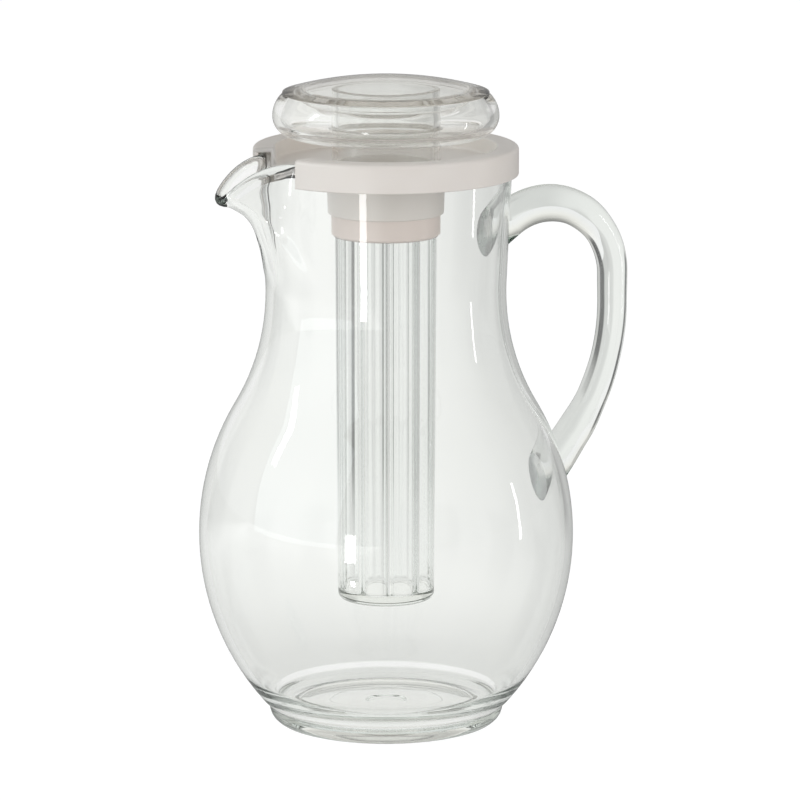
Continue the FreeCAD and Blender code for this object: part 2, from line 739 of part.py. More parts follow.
def build_cap_seal():
    """Round-section seal in the stem's groove."""
    seal = doc.addObject("Part::Torus", "cap_seal")
    seal.Label = "cap_seal"
    section = dim.seal_section
    seal.setExpression("Radius1", (dim.socket_bore - dim.seal_play - section).text)
    seal.setExpression("Radius2", section.text)
    seal.setExpression("Placement.Base.z", seal_level.text)
    return seal


# ---------------------------------------------------------------- ice core

def build_ice_tube():
    """Drafted tube with a closed bottom, a flange at its mouth and a fluted bore."""
    body = new_body("ice_tube")
    section = new_sketch(body, "tube_outline")
    draw_polygon(section, [
        (0, tube_bottom),
        (dim.tube_bottom_radius, tube_bottom),
        (dim.tube_top_radius, nut_end),
        (dim.tube_top_radius, flange_under),
        (flange_radius, flange_under),
        (flange_radius, tube_mouth),
        (0, tube_mouth),
    ])
    revolve(body, section, "tube_blank")
    bottom = dim.tube_bottom_radius.value
    level = tube_bottom.value
    round_edges(body, "bottom_rounding", lambda edge: on_circle(edge, bottom, level), dim.tube_bottom_round)
    depth = dim.tube_length - dim.tube_floor
    core = cut_round(body, "bore", as_size(0), dim.tube_core_radius, depth)
    flute = cut_round(body, "flute", dim.flute_reach - dim.flute_radius, dim.flute_radius, depth)
    assert flute.Shape.Volume < core.Shape.Volume
    flutes = body.newObject("PartDesign::PolarPattern", "flutes")
    flutes.Originals = [flute]
    flutes.Axis = (flute.Profile[0], ["N_Axis"])
    flutes.Angle = FULL_TURN
    flutes.setExpression("Occurrences", dim.flute_count.text)
    body.Tip = flutes
    doc.recompute()
    return body


def cut_round(body, name, out, radius, depth):
    """A round hole straight down from the tube's mouth, with its centre a distance out along X."""
    sketch = new_sketch(body, f"{name}_outline", "XY_Plane")
    sketch.setExpression("AttachmentOffset.Base.z", tube_mouth.text)
    sketch.addGeometry(Part.Circle(point(out.value, 0), Vector(0, 0, 1), radius.value))
    pin_point(sketch, 0, 3, out, as_size(0))
    bind(sketch, "Radius", (0,), radius)
    pocket = body.newObject("PartDesign::Pocket", name)
    pocket.Profile = sketch
    pocket.setExpression("Length", depth.text)
    doc.recompute()
    return pocket


def build_tube_collar():
    """Ring nut under the flange, which screws up into the lid's socket."""
    body = new_body("tube_collar")
    bore = dim.tube_top_radius + dim.nut_play
    section = new_sketch(body, "collar_outline")
    draw_polygon(section, [
        (bore, nut_end),
        (nut_radius, nut_end),
        (nut_radius, nut_top),
        (bore, nut_top),
    ])
    revolve(body, section, "collar")
    outer = nut_radius.value
    end = nut_end.value
    round_edges(body, "collar_bevel", lambda edge: on_circle(edge, outer, end), dim.nut_chamfer, chamfer=True)
    return body


def build_tube_seal():
    """Flat washer between the flange and the shelf."""
    body = new_body("tube_seal")
    section = new_sketch(body, "washer_outline")
    draw_polygon(section, [
        (shelf_radius, washer_under),
        (flange_radius, washer_under),
        (flange_radius, shelf_under),
        (shelf_radius, shelf_under),
    ])
    revolve(body, section, "washer")
    return body


# ---------------------------------------------------------------- build, check and write

def check_document(pieces):
    """Stops the build if any feature failed or any piece is not one valid solid."""
    for item in doc.Objects:
        if {"Invalid", "Error"} & set(item.State):
            raise RuntimeError(f"{item.Name} failed: {item.State}")
    for piece in pieces:
        shape = piece.Shape
        if shape.isNull() or not shape.isValid() or len(shape.Solids) != 1:
            raise RuntimeError(f"{piece.Label} is not one valid solid")


def main():
    """Builds every piece and writes each one to its own file."""
    builders = (
        build_pitcher_body, build_handle, build_lid, build_cap_bowl, build_cap_dome,
        build_cap_seal, build_tube_collar, build_tube_seal, build_ice_tube,
    )
    pieces = [build() for build in builders]
    doc.recompute()
    check_document(pieces)
    os.makedirs("parts", exist_ok=True)
    for piece in pieces:
        piece.Shape.exportStep(f"parts/{piece.Label}.step")
        box = piece.Shape.optimalBoundingBox(False)
        print(f"{piece.Label:14s} volume {piece.Shape.Volume / 1000:8.2f} cm3  "
              f"x {box.XMin:7.2f} {box.XMax:7.2f}  y {box.YMin:7.2f} {box.YMax:7.2f}  "
              f"z {box.ZMin:7.2f} {box.ZMax:7.2f}")


main()
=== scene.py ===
"""Clear pitcher with a white ring lid, a saucer-shaped cap and a fluted ice tube.

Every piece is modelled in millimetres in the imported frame's own axes: the spout points to -X,
the handle to +X, and the pitcher stands on Z = 0. A mesh is scaled to metres when it is finished.
"""

import bisect
import logging
import math
from dataclasses import dataclass, field
from enum import Enum
from typing import Callable, Iterable, Optional, Sequence, Union

import bmesh
import bpy
from mathutils import Matrix, Vector


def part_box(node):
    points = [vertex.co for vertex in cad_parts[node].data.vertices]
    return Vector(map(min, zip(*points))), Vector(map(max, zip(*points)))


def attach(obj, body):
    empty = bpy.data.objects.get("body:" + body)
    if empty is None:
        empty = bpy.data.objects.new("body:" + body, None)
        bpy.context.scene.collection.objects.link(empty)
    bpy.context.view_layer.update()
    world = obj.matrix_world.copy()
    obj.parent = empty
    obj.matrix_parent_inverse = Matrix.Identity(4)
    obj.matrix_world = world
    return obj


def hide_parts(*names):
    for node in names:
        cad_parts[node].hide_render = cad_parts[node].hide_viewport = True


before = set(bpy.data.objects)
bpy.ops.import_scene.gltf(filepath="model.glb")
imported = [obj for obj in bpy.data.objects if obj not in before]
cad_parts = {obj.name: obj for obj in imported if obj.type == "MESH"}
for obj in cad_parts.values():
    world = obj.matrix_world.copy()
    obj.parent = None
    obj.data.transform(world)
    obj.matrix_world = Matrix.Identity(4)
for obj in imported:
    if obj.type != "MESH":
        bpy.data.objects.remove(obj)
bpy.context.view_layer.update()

MM = 0.001
FULL_TURN = 2 * math.pi
ROW = "row"
SECTORS = 8
WELD = 1e-4  # points closer than this become one
NEAR = 1e-3  # as good as nothing
PANEL_COUNT = 8.0  # dark panels in a full turn
PANEL_EDGE = (0.2, -0.5)  # cosines at which a panel starts and is full
CLEAR_HALF = (math.radians(14), math.radians(22))  # turns from the clear way, likewise
log = logging.getLogger("pitcher")


class Body(Enum):
    """The frame's bodies, which the pieces ride on."""

    VESSEL = "vessel"
    LID_SET = "lid_set"
    CAP = "cap"
    CORE = "core"
    RING_NUT = "ring_nut"


class Slot(Enum):
    """The record's material slots."""

    BODY = "clear_body"
    HANDLE = "clear_handle"
    LID = "white_lid"
    COLLAR = "white_collar"
    CAP = "clear_cap"
    TUBE = "clear_tube"
    SEAL = "seal_rubber"


def box_mm(node: str) -> tuple[Vector, Vector]:
    """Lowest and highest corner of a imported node.

    Args:
        node: The node's name.

    Returns:
        The two corners, in millimetres.
    """
    low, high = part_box(node)
    return low / MM, high / MM


# ---------------------------------------------------------------- outlines


@dataclass(frozen=True)
class Corner:
    """A corner of an outline in the half plane beside the axis, in millimetres."""

    out: float
    level: float
    rounding: float = 0.0

    @property
    def place(self) -> Vector:
        """The sharp corner as a point."""
        return Vector((self.out, self.level))


@dataclass(frozen=True)
class OutlineMaker:
    """Turns corners into points, with an arc at each rounded one and holding points beside it."""

    arc_segments: int = 6
    hold: float = 0.25

    def rounded(self, corners: Sequence[Corner], closed: bool = True) -> list[Vector]:
        """Points along an outline whose corners are rounded.

        Args:
            corners: The corners in order.
            closed: Whether the last corner joins the first.

        Returns:
            The points, each as (out, level).
        """
        points: list[Vector] = []
        count = len(corners)
        for number, corner in enumerate(corners):
            if not closed and number in (0, count - 1) or corner.rounding <= 0:
                points.append(corner.place)
                continue
            before = corners[number - 1].place
            after = corners[(number + 1) % count].place
            points += self.arc_at(corner, before, after)
        return points

    def arc_at(self, corner: Corner, before: Vector, after: Vector) -> list[Vector]:
        """The arc that stands for one corner.

        Args:
            corner: The corner.
            before: The corner before it.
            after: The corner after it.

        Returns:
            Points along the arc, with one holding point outside each of its ends.
        """
        back = (before - corner.place).normalized()
        on = (after - corner.place).normalized()
        half = back.angle(on) / 2
        cut = corner.rounding / math.tan(half)
        first = corner.place + back * cut
        last = corner.place + on * cut
        centre = corner.place + (back + on).normalized() * (corner.rounding / math.sin(half))
        start = first - centre
        turn = start.angle_signed(last - centre)
        arc = []
        for step in range(self.arc_segments + 1):
            arm = start.copy()
            arm.rotate(Matrix.Rotation(-turn * step / self.arc_segments, 2))
            arc.append(centre + arm)
        return [first + back * self.hold, *arc, last + on * self.hold]


def unit(angle: float) -> Vector:
    """Direction at an angle from the outward one, in the half plane beside the axis."""
    return Vector((math.cos(angle), math.sin(angle)))


def arc_points(centre: Vector, radius: float, start: float, end: float, count: int) -> list[Vector]:
    """Points along an arc.

    Args:
        centre: The arc's centre.
        radius: Its radius.
        start: The angle it starts at, in radians from the outward direction.
        end: The angle it ends at.
        count: How many points it has.

    Returns:
        The points, each as (out, level).
    """
    angles = [start + (end - start) * step / (count - 1) for step in range(count)]
    return [centre + unit(angle) * radius for angle in angles]


class SmoothCurve:
    """A smooth line through known values that never overshoots them."""

    def __init__(self, knots: Sequence[tuple[float, float]]) -> None:
        """Works out the slope at each knot.

        Args:
            knots: Pairs of place and value, in rising order of place.
        """
        self.places = [place for place, _ in knots]
        self.values = [value for _, value in knots]
        climbs = [(b[1] - a[1]) / (b[0] - a[0]) for a, b in zip(knots, knots[1:])]
        inner = [2 * a * b / (a + b) if a * b > 0 else 0.0 for a, b in zip(climbs, climbs[1:])]
        self.slopes = [climbs[0], *inner, climbs[-1]]

    def __call__(self, place: float) -> float:
        """The value at a place, level beyond both ends.

        Args:
            place: The place.

        Returns:
            The value there.
        """
        if place <= self.places[0]:
            return self.values[0]
        if place >= self.places[-1]:
            return self.values[-1]
        after = bisect.bisect_right(self.places, place)
        before = after - 1
        span = self.places[after] - self.places[before]
        t = (place - self.places[before]) / span
        rise = t * t * (3 - 2 * t)
        return (self.values[before] * (1 - rise) + self.values[after] * rise
                + span * t * (1 - t) * (self.slopes[before] * (1 - t) - self.slopes[after] * t))


def ease(value: float, low: float, high: float) -> float:
    """Rises smoothly from 0 at low to 1 at high."""
    share = min(max((value - low) / (high - low), 0.0), 1.0)
    return share * share * (3 - 2 * share)


def turned(points: Sequence[Vector], steps: int, closed: bool = True) -> bmesh.types.BMesh:
    """A solid of revolution.

    Args:
        points: The outline, each point as (out, level).
        steps: How many segments go round the axis, a multiple of the sectors that are spun and copied.
        closed: Whether the outline closes on itself, as a ring's does. Otherwise both ends are on the axis.

    Returns:
        The turned mesh, with its faces outwards.
    """
    bm = bmesh.new()
    rows = bm.verts.layers.int.new(ROW)
    chain = [bm.verts.new((point.x, 0.0, point.y)) for point in points]
    for number, vert in enumerate(chain):
        vert[rows] = number
    for first, second in zip(chain, chain[1:]):
        bm.edges.new((first, second))
    if closed:
        bm.edges.new((chain[-1], chain[0]))
    bmesh.ops.spin(bm, geom=bm.verts[:] + bm.edges[:], cent=(0, 0, 0), axis=(0, 0, 1),
                   dvec=(0, 0, 0), angle=FULL_TURN / SECTORS, steps=steps // SECTORS)
    there = 1
    while there < SECTORS:
        copied = bmesh.ops.duplicate(bm, geom=bm.verts[:] + bm.edges[:] + bm.faces[:])["geom"]
        moved = [item for item in copied if isinstance(item, bmesh.types.BMVert)]
        onwards = Matrix.Rotation(FULL_TURN * there / SECTORS, 3, "Z")
        bmesh.ops.rotate(bm, verts=moved, cent=(0, 0, 0), matrix=onwards)
        there *= 2
    bmesh.ops.remove_doubles(bm, verts=bm.verts, dist=WELD)
    bmesh.ops.recalc_face_normals(bm, faces=bm.faces)
    return bm


# ---------------------------------------------------------------- shader maths


Number = Union[int, float]


class Wire:
    """A shader socket that takes part in Python expressions, each of which adds a Math node."""

    def __init__(self, tree: bpy.types.NodeTree, socket: bpy.types.NodeSocket) -> None:
        """Holds the socket and the tree that it is in."""
        self.tree = tree
        self.socket = socket

    def _math(self, operation: str, *operands: Union["Wire", Number]) -> "Wire":
        """Adds one Math node.

        Args:
            operation: The node's operation.
            *operands: What its sockets take, in order.

        Returns:
            The node's result.
        """
        node = self.tree.nodes.new("ShaderNodeMath")
        node.operation = operation
        for place, operand in enumerate(operands):
            if isinstance(operand, Wire):
                self.tree.links.new(operand.socket, node.inputs[place])
            else:
                node.inputs[place].default_value = operand
        return Wire(self.tree, node.outputs[0])

    def __add__(self, other: Union["Wire", Number]) -> "Wire":
        """The sum."""
        return self._math("ADD", self, other)

    __radd__ = __add__

    def __sub__(self, other: Union["Wire", Number]) -> "Wire":
        """The difference."""
        return self._math("SUBTRACT", self, other)

    def __rsub__(self, other: Number) -> "Wire":
        """The difference from a plain number."""
        return self._math("SUBTRACT", other, self)

    def __mul__(self, other: Union["Wire", Number]) -> "Wire":
        """The product."""
        return self._math("MULTIPLY", self, other)

    __rmul__ = __mul__

    def math(self, operation: str, *operands: Union["Wire", Number]) -> "Wire":
        """Any other Math node that starts from this socket."""
        return self._math(operation, self, *operands)

    def smooth(self, low: float, high: float) -> "Wire":
        """Rises smoothly from 0 to 1.

        Args:
            low: Where it is 0. It may be the larger number.
            high: Where it is 1.

        Returns:
            The share.
        """
        node = self.tree.nodes.new("ShaderNodeMapRange")
        node.interpolation_type = "SMOOTHSTEP"
        self.tree.links.new(self.socket, node.inputs["Value"])
        node.inputs["From Min"].default_value = low
        node.inputs["From Max"].default_value = high
        return Wire(self.tree, node.outputs["Result"])


@dataclass(frozen=True)
class RayKinds:
    """Which kind of ray meets a surface or the world: each wire holds 1 for its kind and otherwise 0."""

    seen: Wire
    through: Wire
    mirrored: Wire
    guided: Wire

    def pick(self, to_camera: Union[Wire, Number], bent: Wire, gloss: Wire,
             other: Union[Wire, Number]) -> Wire:
        """One value out of four, by the kind of ray.

        Args:
            to_camera: For what the camera sees.
            bent: For light that comes through plastic.
            gloss: For light that is mirrored.
            other: For the rest.

        Returns:
            The value.
        """
        unseen = 1.0 - self.seen
        outside = unseen * (1.0 - self.through)
        return (self.seen * to_camera + unseen * self.through * bent
                + outside * self.mirrored * gloss + outside * (1.0 - self.mirrored) * other)


class Recipe:
    """The node tree of one material or world, built from scratch."""

    def __init__(self, owner: Union[bpy.types.Material, bpy.types.World]) -> None:
        """Empties the owner's tree.

        Args:
            owner: The material or world.
        """
        owner.use_nodes = True
        self.owner = owner
        self.tree = owner.node_tree
        self.tree.nodes.clear()

    def node(self, kind: str, settings: Optional[dict[str, object]] = None,
             **values: object) -> bpy.types.Node:
        """Adds a node.

        Args:
            kind: The node's type.
            settings: Its own settings, which are set first.
            **values: What its sockets hold: a number, a colour, a wire or another node's socket.
                An underscore in a socket's name stands for a space.

        Returns:
            The new node.
        """
        made = self.tree.nodes.new(kind)
        for name, value in (settings or {}).items():
            setattr(made, name, value)
        for name, value in values.items():
            socket = made.inputs[name.replace("_", " ")]
            if isinstance(value, Wire):
                self.tree.links.new(value.socket, socket)
            elif isinstance(value, bpy.types.NodeSocket):
                self.tree.links.new(value, socket)
            else:
                socket.default_value = value
        return made

    def wire(self, socket: bpy.types.NodeSocket) -> Wire:
        """A socket of this tree, ready for an expression."""
        return Wire(self.tree, socket)

    def object_place(self, scale: tuple[float, float, float] = (1, 1, 1)) -> bpy.types.NodeSocket:
        """The piece's own coordinates in metres, stretched by scale."""
        place = self.node("ShaderNodeTexCoord").outputs["Object"]
        return self.node("ShaderNodeMapping", Vector=place, Scale=scale).outputs["Vector"]

    def noise(self, scale: float, detail: float = 2.0,
              stretch: tuple[float, float, float] = (1, 1, 1)) -> Wire:
        """Smooth noise about 0.5, by blotches in a metre, finer layers and scale along each axis."""
        made = self.node("ShaderNodeTexNoise", Vector=self.object_place(stretch), Scale=scale, Detail=detail)
        return self.wire(made.outputs["Fac"])

    def blend(self, share: Wire, first: tuple[float, ...], second: tuple[float, ...]) -> bpy.types.NodeSocket:
        """A colour between two colours.

        Args:
            share: How much there is of the second.
            first: The first colour.
            second: The second colour.

        Returns:
            The blended colour.
        """
        made = self.node("ShaderNodeMix", {"data_type": "RGBA"})
        self.tree.links.new(share.socket, made.inputs[0])
        made.inputs[6].default_value = (*first, 1)
        made.inputs[7].default_value = (*second, 1)
        return made.outputs[2]

    def mix(self, share: bpy.types.NodeSocket, first: bpy.types.Node,
            second: bpy.types.Node) -> bpy.types.Node:
        """A shader between two shaders.

        Args:
            share: How much there is of the second.
            first: The first shader.
            second: The second shader.

        Returns:
            The mixing node.
        """
        made = self.node("ShaderNodeMixShader")
        self.tree.links.new(share, made.inputs[0])
        self.tree.links.new(first.outputs[0], made.inputs[1])
        self.tree.links.new(second.outputs[0], made.inputs[2])
        return made

    def ray_kinds(self) -> RayKinds:
        """What kind of ray comes.

        Returns:
            The kinds. A guided ray is one that was mirrored at least once on its way.
        """
        path = self.node("ShaderNodeLightPath")
        kinds = [self.wire(path.outputs[name])
                 for name in ("Is Camera Ray", "Is Transmission Ray", "Is Glossy Ray", "Glossy Depth")]
        return RayKinds(*kinds[:3], guided=kinds[3].smooth(0.0, 1.0))

    def surroundings(self, along_x: Wire, along_y: Wire, clear_way: float,
                     depth: Union[Wire, Number]) -> Wire:
        """Brightness that bent light meets round the pitcher, where upright dark panels give it lines.

        Args:
            along_x: How far along X the light comes from.
            along_y: How far along Y it comes from.
            clear_way: Direction in degrees from +Y towards +X in which there is no panel.
            depth: How dark the panels are.

        Returns:
            The brightness, which is 1 where there is no panel.
        """
        turn = along_x.math("ARCTAN2", along_y)
        panel = (turn * PANEL_COUNT).math("COSINE").smooth(*PANEL_EDGE)
        beside = (turn - math.radians(clear_way)).math("ABSOLUTE")
        panel = panel * beside.smooth(*CLEAR_HALF)
        return 1.0 - panel * depth

    def bump(self, height: Wire, strength: float, depth: float) -> bpy.types.NodeSocket:
        """Normals from a height of 0 to 1 that is depth metres deep and shows with a strength."""
        made = self.node("ShaderNodeBump", Strength=strength, Distance=depth, Height=height)
        return made.outputs["Normal"]


def from_photo(red: int, green: int, blue: int) -> tuple[float, float, float]:
    """Linear colour of a screen colour.

    Args:
        red: From 0 to 255.
        green: From 0 to 255.
        blue: From 0 to 255.

    Returns:
        The colour that the shader takes.
    """
    shares = (value / 255 for value in (red, green, blue))
    return tuple(x / 12.92 if x <= 0.04045 else ((x + 0.055) / 1.055) ** 2.4 for x in shares)


# ---------------------------------------------------------------- finishes


@dataclass(frozen=True)
class ClearPlastic:
    """Moulded clear plastic, faintly grey-green where it is thick, with the slow ripple of moulding."""

    name: str
    ior: float = 1.56
    ripple_scale: float = 26.0
    ripple_depth: float = 0.00005
    ripple_stretch: tuple[float, float, float] = (1.0, 1.0, 0.45)
    haze: float = 0.012
    roughness: float = 0.002
    density: float = 24.0
    clarity: float = 1.0
    body_colour: tuple[float, float, float] = (0.845, 0.872, 0.856)
    shadow_tint: tuple[float, float, float] = (0.985, 0.988, 0.986)
    paler_tint: tuple[float, float, float] = (0.985, 0.992, 0.988)
    smudge_scale: float = 55.0
    smudge_range: tuple[float, float] = (0.45, 0.75)
    tint_scale: float = 9.0

    def build(self) -> bpy.types.Material:
        """Makes the material.

        Returns:
            The material.
        """
        recipe = Recipe(bpy.data.materials.new(self.name))
        ripple = recipe.noise(self.ripple_scale, 0.0, self.ripple_stretch)
        smudge = recipe.noise(self.smudge_scale, 4.0).smooth(*self.smudge_range)
        tint = recipe.blend(recipe.noise(self.tint_scale, 2.0), (1.0, 1.0, 1.0), self.paler_tint)
        plastic = recipe.node(
            "ShaderNodeBsdfPrincipled", Base_Color=tint, Roughness=smudge * self.haze + self.roughness,
            Normal=recipe.bump(ripple, 1.0, self.ripple_depth), IOR=self.ior,
            Transmission_Weight=self.clarity)
        see_through = recipe.node("ShaderNodeBsdfTransparent", Color=(*self.shadow_tint, 1))
        path = recipe.node("ShaderNodeLightPath")
        surface = plastic
        for kind in ("Is Diffuse Ray", "Is Shadow Ray"):
            surface = recipe.mix(path.outputs[kind], surface, see_through)
        inside = recipe.node("ShaderNodeVolumeAbsorption", Color=(*self.body_colour, 1), Density=self.density)
        recipe.node("ShaderNodeOutputMaterial", Surface=surface.outputs[0], Volume=inside.outputs[0])
        return recipe.owner


@dataclass(frozen=True)
class SatinPlastic:
    """Opaque off-white plastic with a fine moulded grain and slow shifts of shade."""

    name: str
    colour: tuple[float, float, float]
    shade: tuple[float, float, float]
    roughness: float = 0.36
    grain_scale: float = 1500.0
    grain_depth: float = 0.00003
    cloud_scale: float = 18.0
    flow_scale: float = 60.0
    grain_gloss: float = 0.12
    flow_gloss: float = 0.1

    def build(self) -> bpy.types.Material:
        """Makes the material.

        Returns:
            The material.
        """
        recipe = Recipe(bpy.data.materials.new(self.name))
        cloud = recipe.noise(self.cloud_scale, 3.0)
        grain = recipe.noise(self.grain_scale, 3.0)
        flow = recipe.noise(self.flow_scale, 2.0, (1.0, 1.0, 3.0))
        plastic = recipe.node(
            "ShaderNodeBsdfPrincipled",
            Base_Color=recipe.blend(cloud.smooth(0.3, 0.7), self.colour, self.shade),
            Roughness=self.roughness + (grain - 0.5) * self.grain_gloss + (flow - 0.5) * self.flow_gloss,
            Normal=recipe.bump(grain + flow * 0.5, 0.35, self.grain_depth), IOR=1.5)
        recipe.node("ShaderNodeOutputMaterial", Surface=plastic.outputs[0])
        return recipe.owner


@dataclass(frozen=True)
class SealRubber:
    """Soft milky silicone."""

    name: str
    colour: tuple[float, float, float] = (0.52, 0.52, 0.49)
    mottle_scale: float = 420.0
    mottle_depth: float = 0.00005

    def build(self) -> bpy.types.Material:
        """Makes the material.

        Returns:
            The material.
        """
        recipe = Recipe(bpy.data.materials.new(self.name))
        mottle = recipe.noise(self.mottle_scale, 3.0)
        paler = tuple(value * 1.15 for value in self.colour)
        rubber = recipe.node(
            "ShaderNodeBsdfPrincipled", Base_Color=recipe.blend(mottle, self.colour, paler),
            Roughness=0.5 + mottle * 0.2, Normal=recipe.bump(mottle, 0.3, self.mottle_depth), IOR=1.42)
        recipe.node("ShaderNodeOutputMaterial", Surface=rubber.outputs[0])
        return recipe.owner


def finish_piece(bm: bmesh.types.BMesh, name: str, material: bpy.types.Material, body: Body,
                 stands_for: Sequence[str]) -> bpy.types.Object:
    """Makes a mesh a piece of the pitcher.

    Args:
        bm: The mesh, in millimetres. It is freed.
        name: The piece's name.
        material: Its finish.
        body: The body it moves with.
        stands_for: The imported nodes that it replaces.

    Returns:
        The piece.
    """
    if ROW in bm.verts.layers.int:
        bm.verts.layers.int.remove(bm.verts.layers.int[ROW])
    bmesh.ops.scale(bm, vec=(MM, MM, MM), verts=bm.verts)
    mesh = bpy.data.meshes.new(name)
    bm.to_mesh(mesh)
    bm.free()
    mesh.shade_smooth()
    mesh.materials.append(material)
    piece = bpy.data.objects.new(name, mesh)
    bpy.context.scene.collection.objects.link(piece)
    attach(piece, body.value)
    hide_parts(*stands_for)
    log.info("%s: %d faces, rides on %s", name, len(mesh.polygons), body.value)
    return piece


# ---------------------------------------------------------------- vessel


@dataclass
class Vessel:
    """The pear-shaped vessel: belly, neck and flare, with a spout pulled out of the rim."""

    wall: float = 3.0
    belly_level: float = 78.0
    belly_arc: float = 104.0
    neck_radius: float = 48.6
    neck_level: float = 178.0
    rim_radius: float = 51.1
    floor_level: float = 9.0
    floor_thinning: float = 1.3
    wall_start: float = 9.0
    foot_depth: float = 8.5
    foot_step: float = 1.2
    foot_radius: float = 48.0
    foot_toe_radius: float = 46.4
    foot_hollow_radius: float = 37.5
    foot_hollow_level: float = 4.6
    mould_ring_radius: float = 23.0
    mould_ring_slope: float = 0.35
    mould_ring_depth: float = 0.5
    gate_radius: float = 7.2
    gate_slope: float = 1.4
    gate_depth: float = 0.4
    spout_foot: float = 178.0
    spout_root_offset: float = 24.0
    lip_start: float = 49.0
    lip_arc: float = 29.5
    lip_arc_share: float = 0.98
    lowest_end: float = 20.0
    bead_out: float = 0.85
    bead_in: float = 0.3
    bead_fade: tuple[float, float] = (13.0, 19.0)
    bead_rise: tuple[float, float] = (0.3, 4.2)
    beak_angle: float = 6.8
    steps: int = 360
    crowding: float = 0.74
    row_spacing: float = 4.0
    rows: int = 37
    bead_rows: int = 9
    samples: int = 90
    halvings: int = 26
    belly_radius: float = field(init=False)
    rim_level: float = field(init=False)

    def __post_init__(self) -> None:
        """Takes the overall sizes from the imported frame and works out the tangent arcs."""
        high = box_mm("pitcher_body")[1]
        self.belly_radius = high.x
        self.rim_level = high.z
        self.axis_out = self.belly_radius - self.belly_arc
        narrowing = self.neck_radius - self.axis_out
        climb = self.neck_level - self.belly_level
        self.neck_arc = ((climb ** 2 + narrowing ** 2 - self.belly_arc ** 2)
                         / (2 * (self.belly_arc - narrowing)))
        self.neck_centre = Vector((self.neck_radius + self.neck_arc, self.neck_level))
        self.belly_end = self.belly_level + self.belly_arc * climb / (self.belly_arc + self.neck_arc)
        reach = Vector((self.rim_radius, self.rim_level)) - self.neck_centre
        turn = math.atan2(reach.y, reach.x) + math.acos(self.neck_arc / reach.length)
        self.flare_start = self.neck_centre + unit(turn) * self.neck_arc
        stations = (
            # level, reach, nose, root, blend
            (178.0, 44.0, 30.0, 13.0, 3.0), (184.0, 48.4, 28.0, 13.0, 4.5), (190.0, 51.6, 22.0, 15.0, 6.0),
            (199.0, 55.3, 14.5, 18.5, 6.0), (207.0, 58.5, 10.0, 21.2, 5.0), (212.0, 61.5, 8.2, 22.8, 4.4),
            (216.0, 65.0, 7.2, 24.0, 4.0), (220.0, 68.5, 6.6, 24.8, 4.0), (226.0, 71.8, 6.2, 25.0, 4.0),
            (235.0, 73.8, 6.0, 25.1, 4.0))
        self.beak = SmoothCurve([(209.0, 0.0), (213.0, 0.9), (216.0, 2.9), (218.0, 5.0), (219.4, 6.5),
                                 (221.0, 7.2)])
        self.reach, self.nose, self.root, self.blend = (
            SmoothCurve([(station[0], station[part]) for station in stations]) for part in (1, 2, 3, 4))

    def radius_at(self, level: float, inset: float = 0.0) -> float:
        """Radius of the plain vessel, without its spout.

        Args:
            level: The height above the table.
            inset: How far inside the outer surface.

        Returns:
            The radius at that level.
        """
        if level < self.belly_end:
            drop = level - self.belly_level
            return self.axis_out + math.sqrt(max((self.belly_arc - inset) ** 2 - drop ** 2, 0.0))
        if level < self.flare_start.y:
            drop = level - self.neck_level
            return self.neck_centre.x - math.sqrt((self.neck_arc + inset) ** 2 - drop ** 2)
        slope = (self.rim_radius - self.flare_start.x) / (self.rim_level - self.flare_start.y)
        return self.flare_start.x - inset + slope * (level - self.flare_start.y)

    def drop_radius(self, angle: float, level: float) -> float:
        """How far the drop-shaped plan of the spout reaches in one direction.

        Args:
            angle: The direction, measured from the spout's middle.
            level: The height above the table.

        Returns:
            The distance from the axis, or 0 where the drop isn't in that direction.
        """
        nose, root = self.nose(level), self.root(level)
        nose_out = self.reach(level) - nose
        across = nose_out * math.sin(angle)
        tip = nose_out * math.cos(angle) + math.sqrt(nose ** 2 - across ** 2) if abs(across) < nose else 0.0
        apart = nose_out - self.spout_root_offset
        if apart <= abs(root - nose):
            return tip
        lean = math.acos((root - nose) / apart)
        if tip and math.atan2(tip * math.sin(angle), tip * math.cos(angle) - nose_out) <= lean:
            return tip
        flank = (nose_out * math.cos(lean) + nose) / max(math.cos(angle - lean), NEAR)
        tangent = self.spout_root_offset + root * math.cos(lean)
        if flank * math.cos(angle) >= tangent:
            return flank
        across = self.spout_root_offset * math.sin(angle)
        if angle < math.pi / 2 and abs(across) < root:
            return self.spout_root_offset * math.cos(angle) + math.sqrt(root ** 2 - across ** 2)
        return 0.0

    def shell_radius(self, angle: float, level: float) -> float:
        """Outer radius of the vessel with its spout.

        Args:
            angle: The direction, measured from the spout's middle.
            level: The height above the table.

        Returns:
            The radius, with a soft crease where the spout leaves the neck.
        """
        plain = self.radius_at(level)
        if level <= self.spout_foot or angle > math.pi / 2:
            return plain
        drop = self.drop_radius(abs(angle), level)
        soft = self.blend(level)
        beside = math.degrees(angle) / self.beak_angle
        pulled = self.beak(level) * math.exp(-beside * beside)
        return max(plain, drop) + max(soft - abs(plain - drop), 0.0) ** 2 / (4 * soft) + pulled

    def shell_point(self, angle: float, level: float) -> Vector:
        """A point of the outer surface, in axes whose first points along the spout."""
        out = self.shell_radius(angle, level)
        return Vector((out * math.cos(angle), out * math.sin(angle), level))

    def shell_frame(self, angle: float, level: float) -> tuple[Vector, Vector, Vector]:
        """A point of the outer surface with the directions out of the surface and up along it.

        Args:
            angle: The direction, measured from the spout's middle.
            level: The height above the table.

        Returns:
            The point, the normal and the upward tangent.
        """
        turn, rise = 2e-4, 0.01
        beside = self.shell_point(angle + turn, level) - self.shell_point(angle - turn, level)
        up = (self.shell_point(angle, level + rise) - self.shell_point(angle, level - rise)).normalized()
        return self.shell_point(angle, level), beside.cross(up).normalized(), up

